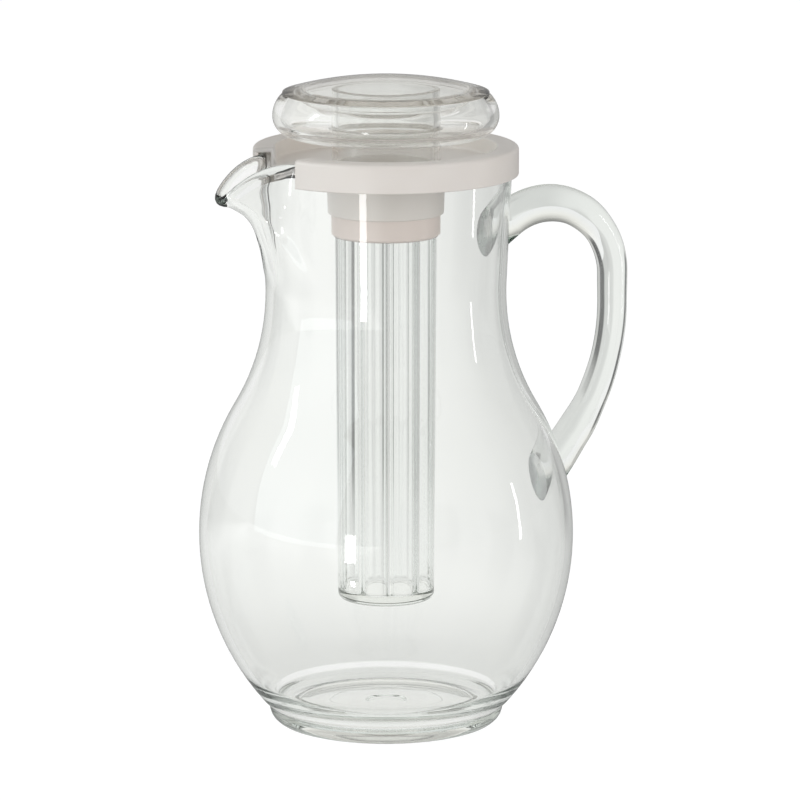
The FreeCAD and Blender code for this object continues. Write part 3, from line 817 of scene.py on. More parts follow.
    def lip_level(self, out: float) -> float:
        """Level of the lip's top at a distance from the axis along the spout."""
        past = min(max(out - self.lip_start, 0.0), self.lip_arc * self.lip_arc_share)
        return self.rim_level - self.lip_arc + math.sqrt(self.lip_arc ** 2 - past ** 2)

    def bead(self, angle: float, level: float) -> tuple[Vector, Vector, Vector, float]:
        """The rounded edge that ends the wall in one direction.

        Args:
            angle: The direction, measured from the spout's middle.
            level: The level at which the wall ends.

        Returns:
            The bead's centre, the directions out of the wall and up along it, and the bead's radius.
        """
        place, normal, up = self.shell_frame(angle, level)
        share = self.bead_share(angle)
        half = (self.wall + (self.bead_out + self.bead_in) * share) / 2
        return place + normal * (self.bead_out * share - half), normal, up, half

    def bead_share(self, angle: float) -> float:
        """Share of the lip's thickening in one direction: none from the lid's pour gap outwards."""
        return 1.0 - ease(math.degrees(angle), *self.bead_fade)

    def wall_end(self, angle: float) -> float:
        """Level at which the wall gives way to its rounded edge.

        Args:
            angle: The direction, measured from the spout's middle.

        Returns:
            The level that puts the edge's top on the lip.
        """
        low, high = self.spout_foot + self.lowest_end, self.rim_level
        for _ in range(self.halvings):
            level = (low + high) / 2
            centre, normal, up, half = self.bead(angle, level)
            if centre.z + half * math.hypot(normal.z, up.z) < self.lip_level(centre.x):
                low = level
            else:
                high = level
        return level

    def column(self, angle: float) -> list[Vector]:
        """The wall's section in one direction, from the spout's foot over the edge and back down.

        Args:
            angle: The direction, measured from the spout's middle.

        Returns:
            Points up the outside, over the edge and down the inside, in the spout's axes.
        """
        end = self.wall_end(angle)
        reach = end - self.spout_foot
        levels = [end - reach * (1 - step / self.samples) ** 3 for step in range(self.samples + 1)]
        outs = [self.shell_radius(angle, level) for level in levels]
        ways = [0.0]
        for number in range(self.samples):
            climb, spread = levels[number + 1] - levels[number], outs[number + 1] - outs[number]
            ways.append(ways[-1] + math.hypot(climb, spread))
        share = self.bead_share(angle)
        outside, inside = [], []
        for row in range(self.rows + 1):
            way = ways[-1] * row / self.rows
            after = min(max(bisect.bisect_left(ways, way), 1), self.samples)
            part = (way - ways[after - 1]) / (ways[after] - ways[after - 1])
            level = levels[after - 1] + (levels[after] - levels[after - 1]) * part
            place, normal, _ = self.shell_frame(angle, level)
            swell = share * (1 - ease(ways[-1] - way, *self.bead_rise))
            outside.append(place + normal * (self.bead_out * swell))
            inside.append(place - normal * (self.wall + self.bead_in * swell))
        centre, normal, up, half = self.bead(angle, end)
        turns = (math.pi * step / (self.bead_rows + 1) for step in range(1, self.bead_rows + 1))
        edge = [centre + (normal * math.cos(turn) + up * math.sin(turn)) * half for turn in turns]
        return outside + edge + inside[::-1]

    def outline(self) -> tuple[list[Vector], int]:
        """Half section of the plain vessel's wall, closed through the floor.

        Returns:
            The points, from the middle of the underside up the outside and down the inside, and the
            place of the first one that the columns move.
        """
        maker = OutlineMaker(arc_segments=6)
        ring_level = self.foot_hollow_level + self.mould_ring_depth
        wall_low = self.foot_depth + self.foot_step
        under = maker.rounded([
            Corner(0, ring_level), Corner(self.mould_ring_radius, ring_level, 0.2),
            Corner(self.mould_ring_radius + self.mould_ring_slope, self.foot_hollow_level, 0.2),
            Corner(self.foot_hollow_radius - 1, self.foot_hollow_level, 1.5),
            Corner(self.foot_hollow_radius + 1, 0, 0.8), Corner(self.foot_toe_radius, 0, 6.2),
            Corner(self.foot_radius, self.foot_depth - self.foot_step, 0.8),
            Corner(self.radius_at(wall_low), wall_low)], closed=False)
        outside = self.wall_points(0.0, self.foot_depth + 2 * self.foot_step)
        first = len(under) + len(outside)
        # stand-ins, which the spout's columns move
        moved = [Vector((self.radius_at(self.spout_foot + 1 + number * 0.05), self.spout_foot + number * 0.5))
                 for number in range(self.moved_rows())]
        inside = self.wall_points(self.wall, self.floor_level + self.wall_start)[::-1]
        floor_level = self.floor_level - self.floor_thinning
        crease = (Corner(47.0, self.floor_level + 4.0, 0.7), Corner(46.1, self.floor_level + 3.3, 0.6))
        floor = maker.rounded([
            Corner(inside[-1].x, inside[-1].y), *crease,
            Corner(44.7, floor_level + 0.8, 2.8), Corner(34.0, floor_level + 0.15, 4.0),
            Corner(self.gate_radius + self.gate_slope, floor_level, 0.4),
            Corner(self.gate_radius, floor_level - self.gate_depth, 0.5),
            Corner(0, floor_level - self.gate_depth)], closed=False)
        return under + outside + moved + inside + floor[1:], first

    def moved_rows(self) -> int:
        """How many points of a section the spout's columns place."""
        return 2 * (self.rows + 1) + self.bead_rows

    def wall_points(self, inset: float, low: float) -> list[Vector]:
        """Points up the plain wall, to just below the spout's foot.

        Args:
            inset: How far inside the outer surface.
            low: The lowest level.

        Returns:
            The points, upwards.
        """
        count = round((self.spout_foot - low) / self.row_spacing)
        levels = [low + (self.spout_foot - low) * step / count for step in range(count)]
        return [Vector((self.radius_at(level, inset), level)) for level in levels]

    def pull_spout(self, bm: bmesh.types.BMesh, first: int) -> None:
        """Crowds the segments towards the spout and moves their upper points onto the columns.

        Args:
            bm: The turned vessel.
            first: The row of the first point that a column places.
        """
        rows = bm.verts.layers.int[ROW]
        columns: dict[int, list[Vector]] = {}
        for vert in bm.verts:
            out = math.hypot(vert.co.x, vert.co.y)
            if out < NEAR:
                continue
            turn = math.atan2(vert.co.y, -vert.co.x)
            turn -= self.crowding * math.sin(turn)
            angle, side = abs(turn), math.copysign(1.0, turn)
            key = round(angle * 1e4)
            number = vert[rows] - first
            if 0 <= number < self.moved_rows():
                if key not in columns:
                    columns[key] = self.column(angle)
                place = columns[key][number]
                vert.co = Vector((-place.x, place.y * side, place.z))
            else:
                vert.co = Vector((-out * math.cos(turn), out * math.sin(turn), vert.co.z))

    def build(self, material: bpy.types.Material) -> bpy.types.Object:
        """Builds the vessel.

        Args:
            material: Its clear plastic.

        Returns:
            The piece.
        """
        outline, first = self.outline()
        bm = turned(outline, self.steps, closed=False)
        self.pull_spout(bm, first)
        bmesh.ops.recalc_face_normals(bm, faces=bm.faces)
        return finish_piece(bm, "clear_vessel", material, Body.VESSEL, ["pitcher_body"])


@dataclass
class HandleRod:
    """The loop handle: a round rod that bows out from the neck and leans back to the belly."""

    vessel: Vessel
    bow_turn: float = 160.0
    bow_offset: float = 25.4
    bow_drop: float = 58.6
    bow_radius: float = 31.6
    grip_straight: float = 12.4
    grip_arc: float = 85.0
    grip_arc_drop: float = 52.0
    tail_length: float = 32.0
    top_size: float = 15.4
    grip_size: float = 12.2
    tail_size: float = 15.6
    bond_gap: float = 0.06
    bond_rings: tuple[float, ...] = (0.93, 0.8, 0.6, 0.4, 0.2, 0.06)
    clear_gap: float = 0.5
    slide_reach: float = 45.0
    halvings: int = 40
    sides: int = 64
    spacing: float = 1.6

    def stretches(self) -> list[tuple[float, Callable[[float], tuple[Vector, Vector]]]]:
        """The rod's line, from the neck to the belly.

        Returns:
            Its stretches, each with its length and a function from share to place and direction.
        """
        vessel = self.vessel
        centre = Vector((vessel.neck_radius + self.bow_offset, vessel.rim_level - self.bow_drop))
        first = math.radians(self.bow_turn)
        grip_centre = Vector((centre.x + self.bow_radius - self.grip_arc, centre.y - self.grip_straight))
        last = math.asin(self.grip_arc_drop / self.grip_arc)

        def bow(share: float) -> tuple[Vector, Vector]:
            """Place and direction on the bow, which rises from the neck and turns down."""
            arm = unit(first * (1 - share))
            return centre + arm * self.bow_radius, Vector((arm.y, -arm.x))

        def straight(share: float) -> tuple[Vector, Vector]:
            """Place and direction on the upright part of the grip."""
            return centre + Vector((self.bow_radius, -self.grip_straight * share)), Vector((0, -1))

        def grip(share: float) -> tuple[Vector, Vector]:
            """Place and direction on the part of the grip that leans back."""
            arm = unit(-last * share)
            return grip_centre + arm * self.grip_arc, Vector((arm.y, -arm.x))

        end, lean = grip(1.0)

        def tail(share: float) -> tuple[Vector, Vector]:
            """Place and direction on the tail, which runs into the belly."""
            return end + lean * (self.tail_length * share), lean

        return [(first * self.bow_radius, bow), (self.grip_straight, straight),
                (last * self.grip_arc, grip), (self.tail_length, tail)]

    def size_at(self, way: float) -> float:
        """The rod's diameter.

        Args:
            way: How far along the rod, from 0 at the neck to 4 at the end of the tail, one per stretch.

        Returns:
            The diameter there.
        """
        stations = ((0.0, self.top_size + 1.0), (0.22, self.top_size), (0.44, self.top_size),
                    (0.63, self.top_size - 0.8), (0.81, self.grip_size + 1.0), (1.0, self.grip_size + 0.3),
                    (2.0, self.grip_size), (2.35, self.grip_size), (2.7, self.grip_size + 0.6),
                    (3.0, self.tail_size - 0.9), (3.44, self.tail_size), (4.0, self.tail_size + 0.4))
        for before, after in zip(stations, stations[1:]):
            if way <= after[0]:
                break
        return before[1] + (after[1] - before[1]) * ease(way, before[0], after[0])

    def onto_vessel(self, place: Vector, direction: Vector) -> Vector:
        """Slides a point along the rod until it lies just off the vessel's outside.

        Args:
            place: The point.
            direction: The rod's direction there, into the vessel.

        Returns:
            The point beside the wall.
        """
        low, high = -self.slide_reach, self.slide_reach
        for _ in range(self.halvings):
            slide = (low + high) / 2
            spot = place + direction * slide
            outside = math.hypot(spot.x, spot.y) > self.vessel.radius_at(spot.z) + self.bond_gap
            low, high = (slide, high) if outside else (low, slide)
        return place + direction * low

    def ring(self, place: Vector, direction: Vector, radius: float) -> list[Vector]:
        """Points of one round section.

        Args:
            place: The middle of the section, as (out, level).
            direction: The rod's direction there, as (out, level).
            radius: The section's radius.

        Returns:
            The points.
        """
        across = Vector((-direction.y, 0, direction.x))
        middle = Vector((place.x, 0, place.y))
        turns = (FULL_TURN * side / self.sides for side in range(self.sides))
        return [middle + (across * math.cos(turn) + Vector((0, 1, 0)) * math.sin(turn)) * radius
                for turn in turns]

    def stations(self) -> list[tuple[Vector, Vector, float]]:
        """Places along the rod, between its two bonded ends.

        Returns:
            The places, each with its direction and radius.
        """
        made = []
        for number, (length, line) in enumerate(self.stretches()):
            count = max(2, round(length / self.spacing))
            for step in range(count if number < 3 else count + 1):
                share = step / count
                place, direction = line(share)
                made.append((place, direction, self.size_at(number + share) / 2))
        clear = []
        for place, direction, radius in made:
            lean = min(self.ring(place, direction, radius),
                       key=lambda spot: math.hypot(spot.x, spot.y) - self.vessel.radius_at(spot.z))
            if math.hypot(lean.x, lean.y) > self.vessel.radius_at(lean.z) + self.clear_gap:
                clear.append((place, direction, radius))
        return clear

    def build(self, material: bpy.types.Material, bond: bpy.types.Material) -> bpy.types.Object:
        """Builds the handle.

        Args:
            material: Its clear plastic.
            bond: The matt finish of its two bonded faces.

        Returns:
            The piece.
        """
        stations = self.stations()
        bm = bmesh.new()
        first = bmesh.ops.create_circle(bm, segments=self.sides, radius=1.0, cap_ends=False)["verts"]
        bonded = []
        for (place, direction, radius), sign in ((stations[0], -1), (stations[-1], 1)):
            into = Vector((direction.x, 0, direction.y)) * sign
            bonded.append([[self.onto_vessel(spot, into)
                            for spot in self.ring(place, direction, radius * share)]
                           for share in (1.0, *self.bond_rings)])
        rings = bonded[0][::-1] + [self.ring(*station) for station in stations] + bonded[1]
        loop = list(first)
        self.place_ring(loop, rings[0])
        edges = bm.edges[:]
        bonded_faces = bmesh.ops.contextual_create(bm, geom=edges)["faces"]
        for number, spots in enumerate(rings[1:]):
            grown = bmesh.ops.extrude_edge_only(bm, edges=edges)["geom"]
            if number < len(self.bond_rings) or number >= len(rings) - 1 - len(self.bond_rings):
                bonded_faces += [item for item in grown if isinstance(item, bmesh.types.BMFace)]
            made = [item for item in grown if isinstance(item, bmesh.types.BMVert)]
            edges = [item for item in grown if isinstance(item, bmesh.types.BMEdge)]
            follow = {edge.other_vert(vert): vert for vert in made for edge in vert.link_edges
                      if edge.other_vert(vert) in loop}
            loop = [follow[vert] for vert in loop]
            self.place_ring(loop, spots)
        bonded_faces += bmesh.ops.contextual_create(bm, geom=edges)["faces"]
        for face in bonded_faces:
            face.material_index = 1
        bmesh.ops.recalc_face_normals(bm, faces=bm.faces)
        rod = finish_piece(bm, "handle_rod", material, Body.VESSEL, ["handle"])
        rod.data.materials.append(bond)
        return rod

    @staticmethod
    def place_ring(loop: Sequence[bmesh.types.BMVert], spots: Iterable[Vector]) -> None:
        """Moves a loop's points to their spots."""
        for vert, spot in zip(loop, spots):
            vert.co = spot


# ---------------------------------------------------------------- lid


@dataclass
class RingLid:
    """White ring that hooks over the rim, with a sunken deck and a socket, and a gap for pouring."""

    ring_wall: float = 1.8
    ring_roof: float = 2.0
    well_radius: float = 44.6
    deck_drop: float = 6.8
    deck_thickness: float = 2.0
    socket_bore: float = 22.25
    socket_wall: float = 1.75
    socket_draft: float = 0.6
    shelf_drop: float = 13.2
    shelf_thickness: float = 1.4
    shelf_radius: float = 19.4
    skirt_drop: float = 9.3
    pour_gap_angle: float = 40.0
    gap_margin: float = 0.3
    steps: int = 288

    def outline(self) -> list[Vector]:
        """Half section of the whole lid.

        Returns:
            The points.
        """
        low, high = box_mm("lid")
        ring_out, top = high.x, high.z
        end = low.z
        deck = top - self.deck_drop
        shelf = deck - self.shelf_drop
        skirt = box_mm("pitcher_body")[1].z - self.skirt_drop
        roof = top - self.ring_roof
        socket = self.socket_bore + self.socket_wall
        return OutlineMaker(arc_segments=5, hold=0.2).rounded([
            Corner(ring_out, skirt, 0.5), Corner(ring_out, top, 1.6), Corner(self.well_radius, top, 0.7),
            Corner(self.well_radius, deck, 1.0), Corner(self.socket_bore, deck, 0.4),
            Corner(self.socket_bore, shelf + self.shelf_thickness, 0.2),
            Corner(self.shelf_radius, shelf + self.shelf_thickness, 0.3),
            Corner(self.shelf_radius, shelf, 0.3), Corner(self.socket_bore, shelf, 0.2),
            Corner(self.socket_bore, end, 0.3), Corner(socket - self.socket_draft, end, 0.6),
            Corner(socket, deck - self.deck_thickness, 0.8),
            Corner(self.well_radius + self.ring_wall, deck - self.deck_thickness, 0.5),
            Corner(self.well_radius + self.ring_wall, roof, 0.5),
            Corner(ring_out - self.ring_wall, roof, 0.5), Corner(ring_out - self.ring_wall, skirt, 0.4)])

    def build(self, material: bpy.types.Material) -> bpy.types.Object:
        """Builds the lid.

        Args:
            material: Its white plastic.

        Returns:
            The piece.
        """
        bm = turned(self.outline(), self.steps)
        half = math.radians(self.pour_gap_angle / 2)
        self.cut_gap(bm, half)
        return finish_piece(bm, "ring_lid", material, Body.LID_SET, ["lid"])

    def cut_gap(self, bm: bmesh.types.BMesh, half: float) -> None:
        """Takes the ring away between two planes through the axis, and closes the cut ends.

        Args:
            bm: The whole lid.
            half: Half of the gap's angle.
        """
        for side in (1, -1):
            normal = (math.sin(half), side * math.cos(half), 0)
            bmesh.ops.bisect_plane(bm, geom=bm.verts[:] + bm.edges[:] + bm.faces[:], dist=WELD,
                                   plane_co=(0, 0, 0), plane_no=normal)

        def in_gap(face: bmesh.types.BMFace) -> bool:
            """Whether a face is in the part of the ring that goes.

            Args:
                face: The face.

            Returns:
                Whether it goes.
            """
            middle = face.calc_center_median()
            beside = abs(math.atan2(middle.y, -middle.x))
            return beside < half and math.hypot(middle.x, middle.y) > self.well_radius - self.gap_margin

        doomed = [face for face in bm.faces if in_gap(face)]
        bmesh.ops.delete(bm, geom=doomed, context="FACES")
        open_edges = [edge for edge in bm.edges if edge.is_boundary]
        bmesh.ops.holes_fill(bm, edges=open_edges, sides=0)
        bmesh.ops.recalc_face_normals(bm, faces=bm.faces)


@dataclass
class SealSet:
    """The soft rings: one round the cap's stem and a flat washer above the ice tube's flange."""

    steps: int = 192

    def build(self, material: bpy.types.Material) -> list[bpy.types.Object]:
        """Builds both rings.

        Args:
            material: Their rubber.

        Returns:
            The pieces.
        """
        low, high = box_mm("cap_seal")
        half = (high.z - low.z) / 2
        middle = Vector((high.x - half, (low.z + high.z) / 2))
        ring = arc_points(middle, half, 0.0, FULL_TURN, 25)[:-1]
        stem_ring = finish_piece(turned(ring, self.steps), "stem_seal", material, Body.CAP,
                                 ["cap_seal"])
        low, high = box_mm("tube_seal")
        shelf = RingLid().shelf_radius
        flat = OutlineMaker(arc_segments=4, hold=0.1).rounded([
            Corner(shelf, low.z, 0.25), Corner(high.x, low.z, 0.25),
            Corner(high.x, high.z, 0.25), Corner(shelf, high.z, 0.25)])
        washer = finish_piece(turned(flat, self.steps), "flange_washer", material, Body.LID_SET,
                              ["tube_seal"])
        return [stem_ring, washer]


# ---------------------------------------------------------------- cap


@dataclass
class SaucerCap:
    """The clear cap: a hollow saucer on a tubular stem, closed by a shallow dome."""

    stem_radius: float = 21.9
    stem_bore: float = 19.4
    wall: float = 2.0
    low_arc: float = 8.0
    high_arc: float = 11.5
    bowl_height: float = 16.8
    stem_drop: float = 1.6
    brim_drop: float = 0.5
    side_wall: float = 3.4
    floor_wall: float = 2.2
    dome_edge: float = 0.4
    dome_thickness: float = 3.0
    dome_dip: float = 1.7
    spigot_wall: float = 1.8
    spigot_inset: float = 1.6
    groove_depth: float = 1.95
    groove_play: float = 0.1
    floor_lead: float = 2.0
    waist_drop: float = 0.8
    inside_rows: int = 40
    steps: int = 288

    def bowl_outline(self) -> list[Vector]:
        """Half section of the saucer and its stem.

        Returns:
            The points.
        """
        low, high = box_mm("cap_bowl")
        waist, brim = self.waist(), self.brim()
        under = waist - self.low_arc
        low_centre = Vector((high.x - self.low_arc, waist))
        high_centre = Vector((high.x - self.high_arc, waist))
        seal_low, seal_high = box_mm("cap_seal")
        groove_low, groove_high = seal_low.z - self.groove_play, seal_high.z + self.groove_play
        groove_floor = self.stem_radius - self.groove_depth
        top = high.z - self.stem_drop
        maker = OutlineMaker(arc_segments=5, hold=0.25)
        stem = maker.rounded([
            Corner(self.stem_bore, top, 0.6), Corner(self.stem_bore, low.z, 0.5),
            Corner(self.stem_radius, low.z, 0.6), Corner(self.stem_radius, groove_low, 0.15),
            Corner(groove_floor, groove_low, 0.15), Corner(groove_floor, groove_high, 0.15),
            Corner(self.stem_radius, groove_high, 0.15), Corner(self.stem_radius, under, 1.2),
            Corner(low_centre.x - self.floor_lead, under)], closed=False)[1:]
        outer_low = arc_points(low_centre, self.low_arc, -math.pi / 2, 0.0, 18)
        outer_turn = math.asin((brim - waist) / self.high_arc)
        outer_high = arc_points(high_centre, self.high_arc, 0.0, outer_turn, 14)[1:]
        hollow = SmoothCurve([(-1.0, self.floor_wall), (-0.55, self.side_wall), (0.35, self.side_wall),
                              (1.0, self.wall)])
        top_turn = math.asin((brim - waist) / (self.high_arc - self.wall))
        inside = []
        for step in range(self.inside_rows + 1):
            share = 1 - step / self.inside_rows * 2
            if share >= 0:
                turn = share * top_turn
                centre, radius = high_centre, self.high_arc
            else:
                turn = share * math.pi / 2
                centre, radius = low_centre, self.low_arc
            inside.append(centre + unit(turn) * (radius - hollow(share)))
        back = maker.rounded([
            Corner(low_centre.x - self.floor_lead, under + self.floor_wall),
            Corner(self.stem_radius, under + self.floor_wall, 1.2), Corner(self.stem_radius, top, 0.6),
            Corner(self.stem_bore, top, 0.6), Corner(self.stem_bore, low.z + 3.0)], closed=False)
        brim_edge = OutlineMaker(arc_segments=4, hold=0.03).rounded([
            Corner(*outer_high[-2]), Corner(*outer_high[-1], 0.5), Corner(*inside[0], 0.1),
            Corner(*inside[1])], closed=False)[1:-1]
        return stem + outer_low + outer_high[:-1] + brim_edge + inside[1:] + back[:-1]

    def waist(self) -> float:
        """Level at which the saucer is widest."""
        return box_mm("cap_bowl")[1].z - self.bowl_height + self.low_arc - self.waist_drop

    def brim(self) -> float:
        """Level of the saucer's brim, on which the dome sits."""
        return box_mm("cap_bowl")[1].z - self.brim_drop

    def dome_outline(self) -> list[Vector]:
        """Half section of the dome and the spigot under it.

        Returns:
            The points, from the underside's middle to the apex.
        """
        low, high = box_mm("cap_dome")
        seat = self.brim() + 0.05
        mouth = (box_mm("cap_bowl")[1].x - self.high_arc
                 + math.sqrt((self.high_arc - self.wall) ** 2 - (self.brim() - self.waist()) ** 2))
        spigot = mouth - self.spigot_inset
        edge = high.x
        top = self.crown(high.z, edge, seat + self.dome_edge, 26)
        under = self.crown(high.z - self.dome_thickness, spigot - self.spigot_wall,
                           seat - self.dome_dip, 20)[::-1]
        maker = OutlineMaker(arc_segments=5, hold=0.05)
        rim = maker.rounded([
            Corner(under[-1].x, under[-1].y), Corner(spigot - self.spigot_wall, low.z, 0.7),
            Corner(spigot, low.z, 0.7), Corner(spigot, seat, 0.3), Corner(edge, seat, 0.12),
            Corner(edge, seat + self.dome_edge, 0.15), Corner(top[1].x, top[1].y)], closed=False)
        return under + rim[1:-1] + top[1:]

    @staticmethod
    def crown(apex: float, radius: float, edge: float, count: int) -> list[Vector]:
        """Points along a shallow arc.

        Args:
            apex: The arc's level on the axis.
            radius: How far out it ends.
            edge: Its level there.
            count: How many points it has.

        Returns:
            The points, from the edge to the apex.
        """
        height = apex - edge
        bend = (radius ** 2 + height ** 2) / (2 * height)
        half = math.asin(radius / bend)
        made = arc_points(Vector((0, apex - bend)), bend, math.pi / 2 - half, math.pi / 2, count)
        made[-1].x = 0.0
        return made

    def build(self, material: bpy.types.Material) -> list[bpy.types.Object]:
        """Builds the saucer and the dome.

        Args:
            material: Their clear plastic.

        Returns:
            The pieces.
        """
        saucer = finish_piece(turned(self.bowl_outline(), self.steps), "cap_saucer", material, Body.CAP,
                              ["cap_bowl"])
        dome = finish_piece(turned(self.dome_outline(), self.steps, closed=False), "cap_crown", material,
                            Body.CAP, ["cap_dome"])
        return [saucer, dome]


# ---------------------------------------------------------------- ice core


@dataclass
class IceCore:
    """The ice tube with its fluted bore, and the ring nut that holds it up in the lid's socket."""

    top_radius: float = 20.5
    bottom_radius: float = 19.6
    floor: float = 4.0
    bottom_round: float = 2.5
    dish_depth: float = 0.35
    dish_shares: tuple[float, float] = (0.62, 0.66)
    flange_thickness: float = 1.8
    flute_reach: float = 18.4
    flute_radius: float = 6.2
    flutes: int = 8
    rib_softness: float = 0.5
    nut_play: float = 0.3
    nut_chamfer: float = 0.9
    rings: int = 12
    rings_above_floor: float = 4.0
    rings_below_top: float = 3.0
    nut_steps: int = 192
    steps: int = 320

    def bore_radius(self, turn: float) -> float:
        """The bore's radius in one direction: round lobes with a soft rib between each two.

        Args:
            turn: The direction about the axis.

        Returns:
            The radius.
        """
        pitch = FULL_TURN / self.flutes
        beside = (turn + pitch / 2) % pitch - pitch / 2
        centre = self.flute_reach - self.flute_radius

        def lobe(angle: float) -> float:
            """How far the bore's round lobe reaches at an angle from its middle."""
            aside = centre * math.sin(angle)
            return centre * math.cos(angle) + math.sqrt(self.flute_radius ** 2 - aside ** 2)

        here, other = lobe(beside), lobe(pitch - abs(beside)) if abs(pitch - abs(beside)) < 0.5 else 0.0
        apart = abs(here - other)
        return max(here, other) + max(self.rib_softness - apart, 0.0) ** 2 / (4 * self.rib_softness)

    def outline(self) -> list[Vector]:
        """Half section of the tube, with its bore still plain.

        Returns:
            The points.
        """
        low, high = box_mm("ice_tube")
        nut_end = box_mm("tube_collar")[0].z
        flange = high.z - self.flange_thickness
        floor = low.z + self.floor
        dish_floor, dish_edge = (self.bottom_radius * share for share in self.dish_shares)
        maker = OutlineMaker(arc_segments=6, hold=0.3)
        return maker.rounded([
            Corner(0, low.z + self.dish_depth), Corner(dish_floor, low.z + self.dish_depth, 0.6),
            Corner(dish_edge, low.z, 0.6),
            Corner(self.bottom_radius, low.z, self.bottom_round),
            Corner(self.top_radius, nut_end, 0.0), Corner(self.top_radius, flange, 0.3),
            Corner(high.x, flange, 0.3), Corner(high.x, high.z, 0.4),
            Corner(self.flute_reach, high.z, 0.4), Corner(self.flute_reach, floor, 1.2),
            Corner(0, floor)], closed=False)

    def build(self, clear: bpy.types.Material, white: bpy.types.Material) -> list[bpy.types.Object]:
        """Builds the tube and its nut.

        Args:
            clear: The tube's clear plastic.
            white: The nut's white plastic.

        Returns:
            The pieces.
        """
        bm = turned(self.outline(), self.steps, closed=False)
        low = box_mm("ice_tube")[0].z
        self.long_rings(bm, low + self.floor + self.rings_above_floor,
                        box_mm("ice_tube")[1].z - self.rings_below_top)
        for vert in bm.verts:
            out = math.hypot(vert.co.x, vert.co.y)
            if vert.co.z < low + self.floor - NEAR or out > self.flute_reach + NEAR or out < NEAR:
                continue
            narrower = self.bore_radius(math.atan2(vert.co.y, vert.co.x)) / self.flute_reach
            vert.co.x *= narrower
            vert.co.y *= narrower
        tube = finish_piece(bm, "ice_tube_fluted", clear, Body.CORE, ["ice_tube"])
        return [tube, self.build_nut(white)]

    def long_rings(self, bm: bmesh.types.BMesh, low: float, high: float) -> None:
        """Cuts a few level rings into the long straight walls.

        Args:
            bm: The tube.
            low: The lowest ring's level.
            high: The highest ring's level.
        """
        for step in range(self.rings):
            level = low + (high - low) * step / (self.rings - 1)
            bmesh.ops.bisect_plane(bm, geom=bm.verts[:] + bm.edges[:] + bm.faces[:], dist=WELD,
                                   plane_co=(0, 0, level), plane_no=(0, 0, 1))

    def build_nut(self, white: bpy.types.Material) -> bpy.types.Object:
        """Builds the ring nut.

        Args:
            white: Its white plastic.

        Returns:
            The piece.
        """
        low, high = box_mm("tube_collar")
        bore = self.top_radius + self.nut_play
        ring = OutlineMaker(arc_segments=3, hold=0.15).rounded([
            Corner(bore, low.z, 0.25), Corner(high.x - self.nut_chamfer, low.z, 0.25),
            Corner(high.x, low.z + self.nut_chamfer, 0.3), Corner(high.x, high.z, 0.2),
            Corner(bore, high.z, 0.2)])
        return finish_piece(turned(ring, self.nut_steps), "core_ring_nut", white, Body.RING_NUT,
                            ["tube_collar"])


# ---------------------------------------------------------------- studio


@dataclass
class Lamp:
    """A softbox on a stand, placed as seen from the pitcher."""

    name: str
    azimuth: float
    distance: float
    level: float
    width: float
    height: float
    radiance: float
    colour: tuple[float, float, float] = (1.0, 1.0, 1.0)
    aim: float = 0.13
    glints_only: bool = False
    soft_only: bool = False

    def build(self) -> None:
        """Adds the lamp, facing the pitcher."""
        light = bpy.data.lights.new(self.name, "AREA")
        light.shape = "RECTANGLE"
        light.size = self.width
        light.size_y = self.height
        light.energy = self.radiance * math.pi * self.width * self.height
        light.color = self.colour
        lamp = bpy.data.objects.new(self.name, light)
        turn = math.radians(self.azimuth)
        lamp.location = (math.sin(turn) * self.distance, -math.cos(turn) * self.distance, self.level)
        lamp.rotation_mode = "QUATERNION"
        lamp.rotation_quaternion = (Vector((0, 0, self.aim)) - lamp.location).to_track_quat("-Z", "Y")
        lamp.visible_camera = False
        lamp.visible_transmission = False
        lamp.visible_diffuse = not self.glints_only
        lamp.visible_glossy = not self.soft_only
        bpy.context.scene.collection.objects.link(lamp)


